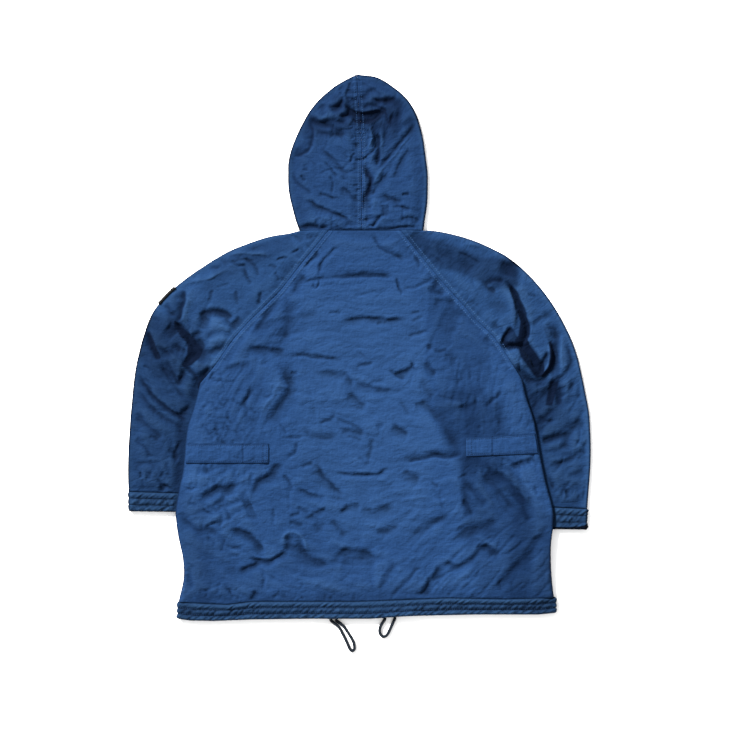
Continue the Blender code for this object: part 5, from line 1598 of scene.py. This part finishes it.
# %% Creases drawn on the hood
HOOD_CREASES = (
    # depth, left width, right width, lip, then the route: x, y, ...
    # the crown
    (4.5, 3, 3, 1.2, 357, 99.5, 363, 97.5, 368, 93, 374, 88),
    (3.0, 3, 4, 0.6, 372, 88, 377, 94, 383, 98),
    (3.5, 2.5, 2.5, 0.8, 351, 88, 347, 95, 348, 102, 352, 106),
    (3.0, 2.5, 2.5, 0.6, 350, 99.5, 354, 100.3, 359, 100),
    (2.4, 2.5, 3, 0.5, 350, 83, 349, 90),
    (5.5, 3, 3, 1.0, 371, 98, 375, 101.3, 381, 101.5, 388, 101, 398, 97.5),
    (3.0, 6, 5, 0.4, 384, 104, 392, 103, 398, 108),
    (4.0, 3, 3, 1.2, 360, 110.5, 366, 107, 374, 106.5, 381, 108.5, 386, 113),
    # the sunk pocket below it
    (6.5, 2.4, 8, 1.8, 346, 106, 350, 111, 355, 113.5, 362, 115, 372, 114, 384, 110),
    (6.0, 7, 2.4, 1.4, 350, 119.5, 355, 122, 362, 123, 369, 122, 376, 119, 383, 110),
    (4.0, 3, 3, 0.8, 381, 106, 384, 112, 386, 119, 389, 123, 393, 113),
    (2.5, 2.5, 2.5, 0.6, 378, 118, 381, 113, 384, 116),
    (6.0, 3, 4, 1.2, 343, 105, 348.5, 109.5, 349, 114, 345, 117, 338, 118.5),
    (5.5, 3, 5, 1.0, 344, 99, 340, 104.5, 335, 107.5, 327, 109),
    (3.5, 3, 3, 0.8, 341, 105, 336, 110, 330, 112.5),
    (3.0, 4, 4, 0.4, 323, 104, 322, 111, 325, 118),
    # below the crown, left
    (5.5, 4.5, 4, 1.0, 308, 115, 314, 122, 322, 125, 330, 127, 337, 131, 349, 135),
    (4.0, 3, 3, 0.8, 312, 118, 320, 123, 330, 121.5, 340, 122.5, 350, 121),
    (3.0, 3, 3, 0.6, 312, 130, 322, 134, 335, 135.5, 350, 135),
    (4.0, 3, 8, 0.8, 310, 122, 312.5, 136, 311, 146, 307, 152.5, 300, 156, 291, 158),
    (3.2, 2.5, 3, 0.9, 320, 149, 330, 157, 337, 164.5, 343, 171.5, 348, 173.5, 354, 170),
    (2.4, 2.5, 3, 0.7, 324, 162, 331, 170, 338, 180),
    (2.0, 2.5, 3, 0.5, 330, 176, 333, 186, 331, 196),
    (3.4, 2.5, 3, 0.8, 341, 188, 349, 194, 354, 198.5, 359, 197),
    (2.0, 2.5, 3, 0.5, 318, 194, 328, 197, 336, 201),
    (2.4, 2.5, 3, 0.5, 350, 165, 352, 158, 356, 153),
    (2.6, 2.5, 3, 0.6, 353, 162.5, 360, 160.5, 368, 157),
    (2.6, 2.5, 3, 0.6, 364, 158, 370, 154, 376, 147, 374, 144),
    (4.6, 2.8, 4, 1.1, 301, 201, 312, 204, 318, 208, 325, 210, 332, 214, 340, 216.5, 346, 219,
     349, 223, 362, 223.5),
    (3.4, 2.5, 3.5, 0.7, 355, 220.5, 363, 221, 372, 219, 382, 218),
    (2.4, 3, 4, 0.5, 292, 172, 296, 182, 304, 189, 314, 196),
    (2.2, 3, 3, 0.4, 300, 176, 306, 182),
    # below the crown, right
    (6.0, 2.8, 6, 1.0, 377.5, 132, 379, 146, 378.5, 158, 376, 170),
    (3.0, 3, 4, 0.6, 373, 124, 374, 140, 372, 152),
    (3.0, 3, 4, 0.6, 384, 125, 385, 140, 383, 152),
    (-3.0, 3, 3, 0.0, 370, 126, 371, 140, 368, 152),
    (7.0, 3, 5, 1.0, 364.5, 164, 366, 174, 371, 181, 368.5, 190, 365, 199, 362.5, 214),
    (4.6, 3, 5, 0.9, 418, 122, 410, 131, 398, 146, 386, 161, 377, 173),
    (-2.4, 3, 5, 0.0, 414, 131, 402, 146, 390, 161, 378, 176, 368, 193),
    (3.2, 3, 3, 0.8, 410, 147, 402, 160, 398, 168, 392, 182),
    (3.2, 3, 3, 0.7, 388, 172, 378, 186, 369, 198),
    (3.4, 4, 4, 0.6, 402, 130, 408, 124, 420, 119),
    (3.6, 3, 4, 0.9, 382, 193, 388, 199, 395, 201, 403, 202.5),
    (3.4, 3, 3, 0.6, 382.5, 205, 383.5, 212, 383, 219),
    (2.4, 3, 3, 0.5, 392, 208, 402, 208, 412, 211),
    (2.6, 2.5, 3, 0.6, 401, 196, 410, 195),
    (3.6, 3, 3, 0.8, 399, 221, 407, 218.5, 414, 219, 421, 222),
    (2.4, 3, 3, 0.5, 372, 229, 377, 221, 384, 215),
    (3.0, 4, 6, 0.5, 397, 99, 398, 112, 396, 125, 400, 134),
    # along the neck
    (7.0, 3.4, 3, 0.4, 294, 226, 303, 228, 311, 226.5, 319, 228.5, 331, 226),
    (5.0, 3, 2, 0.3, 322, 230, 340, 231, 360, 231, 380, 230.5, 395, 229, 402, 227.4, 412, 227.4,
     425, 228),
)
HOOD_SHADE = (
    # strength, softness in mm, then the outline: x, y, ...
    # painted shade
    (0.30, 14.0, 336, 100, 360, 104, 384, 100, 400, 106, 396, 122, 372, 126, 350, 126, 338, 118),
    (0.30, 30.0, 340, 74, 385, 74, 415, 104, 424, 124, 398, 134, 372, 126, 350, 126, 330, 134,
     306, 130, 312, 104),
    (0.26, 8.0, 350, 112, 362, 115, 383, 111, 378, 120, 368, 123, 354, 122),
    (0.22, 8.0, 310, 117, 318, 123, 328, 122, 345, 126, 350, 135, 335, 135, 322, 133, 312, 128),
    (0.16, 26.0, 310, 122, 318, 136, 315, 148, 308, 155, 298, 158, 290, 158, 300, 130),
    (0.22, 14.0, 372, 128, 392, 128, 394, 146, 384, 160, 376, 172, 374, 150),
    (0.50, 6.0, 365, 170, 373, 180, 370, 190, 365, 199, 363, 196, 366, 186),
    (0.22, 24.0, 286, 150, 298, 150, 304, 232, 290, 232),
    (0.16, 8.0, 384, 102, 398, 100, 400, 130, 392, 132),
)
hood_creases = lean(hand_creases(HOOD_CREASES), 1.3, 2.6, 2.9, 0.8) + chance_creases(31, (
    # count, x from, x to, y from, y to, turn, spread, shortest, longest, depth, width
    (30, 292, 352, 136, 228, -30, 40, 16, 56, 1.0, 2.0),
    (30, 368, 424, 130, 228, 60, 40, 16, 56, 1.0, 2.0),
    (34, 310, 400, 78, 136, 0, 60, 12, 40, 1.6, 2.1),
    (30, 352, 372, 124, 228, 4, 16, 8, 20, 1.4, 1.8),
    (16, 296, 420, 214, 230, 85, 14, 8, 20, 1.2, 1.9),
))
print("creases on the hood:", len(hood_creases))

# %% Make the hood
HOOD_RUN = 26.0
HOOD_ROWS = 201


def hood_rows(side, count):
    """The half hood's rows, turning about the crown: their starts, folds and reaches."""
    table = np.array(HOOD_TABLE[side], dtype=float)
    rows = np.linspace(0, len(table) - 1, count)
    seam_y = path(table[:, :1], rows)[:, 0]
    start = np.stack([np.interp(seam_y, *HOOD_SEAM.T[::-1]), seam_y], axis=1)
    fold = path(table[:, 1:3], rows)
    gap = np.maximum(path(table[:, 3:], rows)[:, 0], SEAM)
    start[:, 0] += side * SEAM
    fold[-1, 0] += side * 0.05    # the two halves' last folds meet here
    start[0, 1] += SEAM
    fold[0, 1] += SEAM
    return start, fold, np.linalg.norm(fold - start, axis=1) - gap


def hood_top(x, y, side):
    """The hood's upper layer: puffed between its seams, sunk where the crown collapses."""
    away, along, _ = near(x, y, HOOD_SEAM)
    fold = near(x, y, curve_of([row[1:3] for row in HOOD_TABLE[side]]))[0]
    neck = y - NECK
    loft = smooth(np.minimum(away, neck) / HOOD_RUN) * smooth((fold - FOLD) / FOLD_RUN)
    shown = smooth((np.minimum(away, neck) + 2.0) / 8.0) * smooth((fold - 1.0) / 14.0)
    folds = crease_heights(x, y, hood_creases) + crumples(x, y, 300, 0.95, 0.85)
    thick = WALL + LOFT * loft + folds * shown + seam_band(away, along, 81) - nip(neck)
    swell = PLACKET_LIFT * bell(neck, 36.0) * smooth((fold - 2.0) / 40.0)
    return UPPER + soft_floor(thick) + swell


hood = {}
for side, name in SIDES:
    start, fold, reach = hood_rows(side, HOOD_ROWS)
    hood[side] = wrap(f"hood_half_{name}", start, fold, reach,
                      lambda x, y: hood_top(x, y, side), (80, 25), True, hood_cotton,
                      tone=lambda x, y: cloth_tone(x, y, HOOD_SHADE, hood_creases, (HOOD_SEAM,)))

# %% [markdown]
# ## The quilted hem band and cuffs
# The band is stitched in three rows, and the rows pucker because the band is eased
# on to a longer edge. A profile of three puffs is carried round the body, and
# slanting puckers make each row look like a twisted rope.

# %% Make the hem band
HEM_ROWS = 33
BAND_PUFF = 2.6        # how far each puff stands above the stitched rows
BAND_PUFFS = 3
BAND_WIDTH = 36.0
FOOT_ROUND = 5.0       # how far from its foot the band begins to round off


def quilting(share, run, seed, height=BAND_PUFF):
    """Three puffs across the band, each twisted by slanting puckers; run is along the band."""
    row = np.clip((share * BAND_PUFFS).astype(int), 0, BAND_PUFFS - 1)
    part = share * BAND_PUFFS - row
    puff = np.abs(np.sin(math.pi * part)) ** 0.6
    slant = np.where(row % 2 == 0, 1.0, 0.6)
    shift = slant * (part - 0.5)
    twist = noise(run + 16 * shift + 37 * row, 9.0 * row + 0 * run, 6.5, 30.0, seed)
    small = noise(run - 9 * shift + 71 * row, 7.0 * row + 0 * run, 3.4, 30.0, seed + 1)
    swell = noise(run + 53 * row, 0 * run, 42.0, 30.0, seed + 2)
    tension = 1.0 - 0.35 * np.abs(np.sin(math.pi * run / 2.6)) * (1 - puff)
    return height * puff * tension * (1 + 0.25 * swell) + puff * (1.9 * twist + 1.0 * small)


def foot_curl(to_foot):
    """How the wall thins towards a band's foot, which is rounded."""
    return 0.3 + 0.7 * quarter(to_foot / FOOT_ROUND)


def hem_stations():
    """Stations round the band: x, its inside's height, its way out, and its quilting."""
    middle = float(centre_x(-520.0))
    left, right = HEM_ENDS[0] + FOLD, HEM_ENDS[1] - FOLD
    front_left = np.linspace(middle - SEAM, left, 73)
    front_right = np.linspace(right, middle + SEAM, 73)
    back_x = np.linspace(left, right, 365)
    around_left = np.radians(np.linspace(-100, -260, 17))
    around_right = np.radians(np.linspace(80, -80, 17))

    def level(x, up):
        """Stations on a flat layer: the back's, facing up, or the front's."""
        flat = 0 * x
        return np.stack([x, lift(x, hem_seam_y(x)) + (UPPER if up else WALL), flat,
                         flat + (1.0 if up else -1.0), flat + up], axis=1)

    def turn(x, angle):
        """Stations round an end of the body, on a half circle."""
        flat = 0 * angle
        return np.stack([flat + x, flat + FOLD, np.cos(angle), np.sin(angle),
                         smooth(0.5 + 0.8 * np.sin(angle))], axis=1)

    return np.concatenate([level(front_left, 0), turn(left, around_left), level(back_x, 1),
                           turn(right, around_right), level(front_right, 0)])


stations = hem_stations()
stations = stations[:len(stations) - (len(stations) - 1) % STEP]   # a whole number of steps
station_x, inside_z, out_x, out_z, turn_share = (column[:, None] for column in stations.T)
share = np.concatenate([np.linspace(0, 0.89, HEM_ROWS - 4),
                        1 - np.array(EDGE_STEPS[-2::-1]) / BAND_WIDTH])[None, :]
base = np.where(np.abs(out_x) > 0, GAP / 2, 0.0)
run = run_along(stations[:, :2])[:, None]
curl = foot_curl((1 - share) * BAND_WIDTH)
quilt = quilting(share, run + 0 * share, 401) * turn_share
wall = (WALL + quilt) * curl - nip(share * BAND_WIDTH) * turn_share
wall = np.where(turn_share > 0, wall, WALL * curl)   # the layer on the floor is plain
offset = base + wall
seam_line, foot_line = hem_seam_y(station_x) - SEAM, line_y(HEM_FOOT, station_x)
band_y = seam_line + (foot_line - seam_line) * share
hem_surface = grid(station_x + out_x * offset, band_y, inside_z + out_z * offset)
inner = grid(station_x + out_x * base, band_y, inside_z + out_z * base)
swell = (rise(station_x, seam_line) - lift(station_x, seam_line)) * (1 - smooth(1.2 * share))
hem_surface[:, :, 2] += swell * np.clip(out_z, 0, 1) * smooth(
    np.minimum(station_x - HEM_ENDS[0], HEM_ENDS[1] - station_x) / 40.0)
# painted shade, darker towards both ends of the band
hem_end_shade = 0.4 * smooth((station_x - 280) / 110) + 0.35 * smooth((-310 - station_x) / 50)
hem_band = panel("quilted_hem_band", hem_surface, inner, quilt_cotton, 5, hem_end_shade,
                 grid(run, band_y))

# %% Make the cuffs
CUFF_ROWS = 41
CUFF_SHADE = (
    # strength, softness in mm, then the outline: x, y, ...
    # painted shade along each cuff's foot
    (0.7, 1.6, 125, 510.4, 190, 511.4, 190, 515, 125, 515),
    (1.0, 2.0, 521, 522.5, 530, 522.5, 538, 525, 550, 526.5, 565, 527, 580, 526, 590, 523.5,
     590, 533, 521, 533),
)


def cuff_rows(side, count):
    """The cuff's rows from its seam to its foot, closer together at the foot."""
    seam, foot = (np.array(row, dtype=float) for row in (SLEEVE_TABLE[side][-1], CUFF_FOOT[side]))
    share = np.concatenate([np.linspace(0, 0.93, count - 4), [0.955, 0.975, 0.99, 1.0]])
    rows = seam + (foot - seam) * share[:, None]
    rows[:, 0] += side * SEAM
    rows[0, [1, 3]] -= SEAM
    return rows[:, :2], rows[:, 2:], share


cuffs = {}
for side, name in SIDES:
    start, fold, share = cuff_rows(side, CUFF_ROWS)
    tall = abs(start[0, 1] - start[-1, 1])

    def cuff_top(x, y, share=share[:, None], side=side, tall=tall):
        """Three puckered puffs, flat where the body lies on the cuff."""
        clear = smooth((outline_distance(x, y, BODY_OUTLINE) - 2.0) / 8.0)
        wall = WALL + clear * quilting(share + 0 * x, x, 420 + side, 2.3) - nip(share * tall)
        return UPPER + wall * foot_curl((1 - share) * tall)

    reach = np.linalg.norm(fold - start, axis=1)
    cuffs[side] = wrap(f"quilted_cuff_{name}", start, fold, reach, cuff_top, (60, 21), False,
                       quilt_cotton, 4, tone=lambda x, y: drawn_tone(x, y, CUFF_SHADE))

# %% [markdown]
# ## The waist casings
# Two strips on the back hold elastic at the waist, so they stand a little proud and
# are drawn into upright gathers between their stitched edges. The edges and the seam
# across each strip are sunk, and a painted shade darkens them.

# %% Make the casings
CASING_WALL = 1.0
CASING_PUFF = 0.5
CASINGS = {
    # side: corners on the drawing: side top, inner end top, inner end foot, side foot
    -1: (186, 443, 269, 443, 269, 462.5, 184, 462.5),
    1: (537, 432.6, 465, 437.5, 465, 456, 540, 453),
}
CASING_SEAM = {-1: -231.0, 1: 264.0}   # x of the upright seam across each casing


def casing_grid(side, rows, columns):
    """A four-cornered patch, its outer end just inside the body's edge."""
    corners = drawn(CASINGS[side])
    corners[[0, 3], 0] = side_x(side, corners[[0, 3], 1]) - side * 4.0
    down, along = np.linspace(0, 1, rows)[:, None], np.linspace(0, 1, columns)[None, :]
    top = corners[0] + (corners[1] - corners[0]) * along[..., None]
    foot = corners[3] + (corners[2] - corners[3]) * along[..., None]
    return top + (foot - top) * down[..., None], down


def casing_top(x, y, down, side):
    """What the casing rests on, and its gathers: upright ridges pinched at the edges."""
    rest = back_top(x, y)
    rest = np.maximum(rest, blur(rest, 5))
    swell = np.sin(math.pi * down) ** 0.55
    pinch = bell(np.minimum(down, 1 - down) - 0.1, 0.045)
    gather = 0.4 * noise(x, y, 8.5, 40.0, 501 + side) + 0.15 * noise(x, y, 4.3, 30.0, 511 + side)
    gather = gather + 0.4 * noise(x, y, 24.0, 40.0, 521 + side)
    height = CASING_WALL + CASING_PUFF * swell + gather * (0.35 + 0.65 * swell) - 0.7 * pinch
    height = height - 1.3 * bell(x - CASING_SEAM[side], 1.6)
    return rest, rest + GAP + np.maximum(height, 0.7)


casings, casing_surface = {}, {}
for side, name in SIDES:
    patch, down = casing_grid(side, 29, 129)
    x, y = patch[..., 0], patch[..., 1]
    rest, height = casing_top(x, y, down, side)
    casing_surface[side] = grid(x, y, height)
    # painted shade along the sunk edges and the seam across the strip
    edges = 0.9 * bell(1 - down, 0.06) + 0.8 * bell(down, 0.05)
    edges = edges + 0.45 * bell(x - CASING_SEAM[side], 1.6)
    casings[side] = panel(f"gathered_casing_{name}", casing_surface[side],
                          grid(x, y, rest + GAP), body_cotton, 4, edges)

# %% [markdown]
# ## The fronts and the flap
# The jacket lies on its fronts, so they are almost flat, with only shallow creases
# pressed in from below. A plain flap covers the closure down the middle.

# %% Make the fronts and the flap
PLACKET_WALL, PLACKET_TOP, PLACKET_FOOT = 3.0, 226.0, -534.0
PLACKET_EDGE = np.array([26.0, 25.6, 24.6, 23.2])   # columns from the middle to one edge
front_x, front_y = back_x[::2, ::2], back_y[::2, ::2]
middle_column = front_x.shape[1] // 2
fronts = {}
for side, name in SIDES:
    part = slice(0, middle_column + 1) if side < 0 else slice(middle_column, None)
    x, y = front_x[:, part].copy(), front_y[:, part]
    x[:, -1 if side < 0 else 0] += side * SEAM
    edge = np.abs(x - (x[:, :1] if side < 0 else x[:, -1:]))
    rounded = (WALL - 1.0) * (1 - quarter(edge / 6.0)) * below(y, FREE_Y, FREE_RUN)
    pressed = np.clip(0.5 + 0.9 * crumple(x, y, 26.0, 601, 10.0, 1.5), 0.0, 1.8)
    level = lift(x, y)
    outer = grid(x, y, level + np.maximum(pressed * smooth(edge / 12.0), rounded))
    fronts[side] = panel(f"front_panel_{name}", outer, grid(x, y, level + WALL), body_cotton, 5)

placket_y = np.linspace(PLACKET_TOP, PLACKET_FOOT, 297)[:, None]
offset = np.concatenate([-PLACKET_EDGE, np.linspace(-21.5, 21.5, 25), PLACKET_EDGE[::-1]])[None, :]
x, y = centre_x(placket_y) + offset, placket_y + 0 * offset
groove = 0.35 * bell(np.abs(offset) - 20.0, 0.9) + 0.7 * smooth((np.abs(offset) - 23) / 3)
groove = groove + 0.25 * np.clip(noise(x, y, 9.0, 14.0, 611), 0, 1)
placket = panel("front_flap", grid(x, y, groove), grid(x, y, PLACKET_WALL), body_cotton, 4)

# %% [markdown]
# ## The tab on the sleeve
# A short plain tab of stiff black webbing is folded over the sleeve's outer edge and
# sewn down at both ends.

# %% Make the tab
TAB_SPAN = (6.50, 7.46)       # sleeve rows
TAB_ANGLES = (75.0, -25.0)    # round the sleeve's fold
TAB_CLEAR, TAB_WALL = 0.4, 2.4


def webbing(name, colour, light):
    """Black webbing: a fine rib across the tape, a little shine, and worn raised threads."""
    recipe = Recipe(name)
    across, run = (recipe.part(recipe.cloth_place(), axis) for axis in (0, 1))
    rib = (run * 3100.0).sine() * (across * 3100.0).sine()
    wear = recipe.grain(recipe.cloth_place(), 300.0)
    shade = recipe.blend(colour, light, (0.5 * rib + 0.6 * wear).between(-0.6, 1.2))
    recipe.bumps(0.12 * rib)
    return recipe.finish(Base_Color=shade, Roughness=0.62 + 0.12 * wear, Specular_IOR_Level=0.04)


def tab_grid(radius, rows, columns):
    """Points on the sleeve's fold at a distance from its centre line."""
    table = np.array(LEFT_SLEEVE, dtype=float)
    at = np.linspace(*TAB_SPAN, rows)
    start, fold = path(table[:, :2], at), path(table[:, 2:], at)
    toward = unit(fold - start)
    angle = np.radians(np.linspace(*TAB_ANGLES, columns))[None, :]
    centre = fold - toward * FOLD
    reach = radius * np.cos(angle)
    x, y = (centre[:, k:k + 1] + toward[:, k:k + 1] * reach for k in (0, 1))
    return grid(x, y, FOLD + radius * np.sin(angle))


rows, columns = np.linspace(0, 1, 49)[:, None], np.linspace(0, 1, 33)[None, :]
inside = 1 - np.maximum(np.abs(2 * rows - 1) ** 14, np.abs(2 * columns - 1) ** 14)
stitched = bell(np.abs(2 * rows - 1) - 0.8, 0.05)
hemmed = 0.8 * smooth((np.abs(2 * rows - 1) - 0.62) / 0.08)
wall = 0.9 + (TAB_WALL - 0.9) * np.sqrt(np.clip(inside, 0, 1)) + hemmed - 0.5 * stitched
outer, inner = (tab_grid(FOLD + TAB_CLEAR + part, 49, 33) for part in (wall, 0 * wall))
tab = panel("sleeve_tab_webbing", outer, inner,
            webbing("black_webbing", (0.0003, 0.0003, 0.0004), (0.0012, 0.0012, 0.0016)), 4,
            cloth=grid(columns * 13.0, rows * 45.0))

# %% [markdown]
# ## Thread
# Rows of small stitches run along both sides of every seam. Each stitch is a tiny
# spindle laid on the cloth's own height, so it follows every pucker.

# %% Stitches
THREAD_RADIUS = 0.65
THREAD_SIDES = 5


def stitches_along(line, offset, height, pitch=STITCH_PITCH, proud=0.15):
    """The two ends of each stitch on a line moved sideways by the offset.

    Their height comes from the height function, or from the line's own points.
    """
    run = run_along(line)
    middle = (np.arange(int(run[-1] / pitch)) + 0.5) * pitch
    ends = []
    for shift in (-0.34 * pitch, 0.34 * pitch):
        at = np.clip(middle + shift, 0, run[-1])
        before, spot, after = (
            np.stack([np.interp(place, run, line[:, k]) for k in (0, 1)], axis=1)
            for place in (np.maximum(at - 2, 0), at, np.minimum(at + 2, run[-1])))
        ahead = unit(after - before)
        x, y = spot[:, 0] - ahead[:, 1] * offset, spot[:, 1] + ahead[:, 0] * offset
        z = height(x, y) if height else np.interp(at, run, line[:, 2])
        ends.append(np.stack([x, y, z + proud], axis=1))
    return np.stack(ends, axis=1)


def add_stitches(name, ends, material):
    """One small spindle for each stitch, with a point at both ends and two rings between."""
    axis = ends[:, 1] - ends[:, 0]
    along = unit(axis)
    side = unit(np.cross(along, [0.0, 0.0, 1.0]))
    up = np.cross(side, along)
    turn = np.linspace(0, 2 * math.pi, THREAD_SIDES + 1)[:-1, None]
    circle = THREAD_RADIUS * (np.cos(turn) * side[:, None] + np.sin(turn) * up[:, None])
    rings = [(ends[:, 0] + axis * place)[:, None] + circle for place in (0.22, 0.78)]
    points = np.concatenate([ends[:, :1], *rings, ends[:, 1:]], axis=1)
    ring = np.arange(THREAD_SIDES)
    after = np.roll(ring, -1)
    last = 2 * THREAD_SIDES + 1
    faces = [(0, 1 + b, 1 + a) for a, b in zip(ring, after)]
    faces += [(last, 1 + THREAD_SIDES + a, 1 + THREAD_SIDES + b) for a, b in zip(ring, after)]
    quads = 1 + np.stack([ring, after, THREAD_SIDES + after, THREAD_SIDES + ring], axis=1)
    first = np.arange(len(ends))[:, None, None] * (last + 1)
    faces = (np.array(faces)[None] + first).reshape(-1, 3).tolist()
    faces += (quads[None] + first).reshape(-1, 4).tolist()
    piece = add_piece(name, points, faces, material)
    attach(piece, "root")
    print(f"{name}: {len(ends)} stitches")
    return piece


def thread(name, colour, light):
    """Cotton thread, a little lighter than the cloth, uneven from stitch to stitch."""
    recipe = Recipe(name)
    uneven = recipe.grain(recipe.node("ShaderNodeTexCoord", output=3), 220.0)
    shade = recipe.blend(colour, light, uneven.between(-0.6, 0.6))
    return recipe.finish(Base_Color=shade, Roughness=0.75, Specular_IOR_Level=0.05)


blue_thread = thread("blue_thread", (0.0076, 0.0235, 0.0638), (0.0168, 0.0420, 0.0924))
hood_thread = thread("hood_thread", (0.0055, 0.0172, 0.0487), (0.0105, 0.0277, 0.0655))
navy_thread = thread("navy_thread", (0.0034, 0.0109, 0.0336), (0.0076, 0.0227, 0.0588))
hood_line = even_points(HOOD_SEAM, 80)[2:-6]
raglan_rows, hood_rows_of_thread, casing_rows = [], [], []
for side, _ in SIDES:
    line, across = RAGLAN[side][2:-8], side * STITCH_PLACE
    raglan_rows += [stitches_along(line, -across, back_top),
                    stitches_along(line, across, lambda x, y: sleeve_top(x, y, side))]
    hood_rows_of_thread.append(stitches_along(hood_line, -across,
                                              lambda x, y: hood_top(x, y, side)))
    edges = casing_surface[side]
    casing_rows += [stitches_along(line, 0.0, None, 3.8)
                    for line in (edges[3], edges[-4], edges[:, -4], edges[:, -10])]
band_rows = [stitches_along(hem_surface[90:455, row], 0.0, None, 3.6) for row in (10, 20)]
threads = {name: add_stitches(name, np.concatenate(rows), material) for name, rows, material in (
    ("raglan_stitches", raglan_rows, blue_thread),
    ("hood_stitches", hood_rows_of_thread, hood_thread),
    ("casing_stitches", casing_rows, navy_thread),
    ("hem_stitches", band_rows, navy_thread),
)}

# %% [markdown]
# ## Each piece in its solid's place
# Each piece rides on the one body and stands for its solid,
# which is hidden.

finish_piece(back, "back_body")
for side, name in SIDES:
    finish_piece(sleeves[side], f"sleeve_{name}")
    finish_piece(cuffs[side], f"cuff_{name}")
    finish_piece(hood[side], f"hood_{name}")
    finish_piece(fronts[side], f"front_{name}")
    finish_piece(casings[side], f"waist_casing_{name}")
finish_piece(hem_band, "hem_band")
finish_piece(placket, "front_placket")
finish_piece(tab, "sleeve_tab")
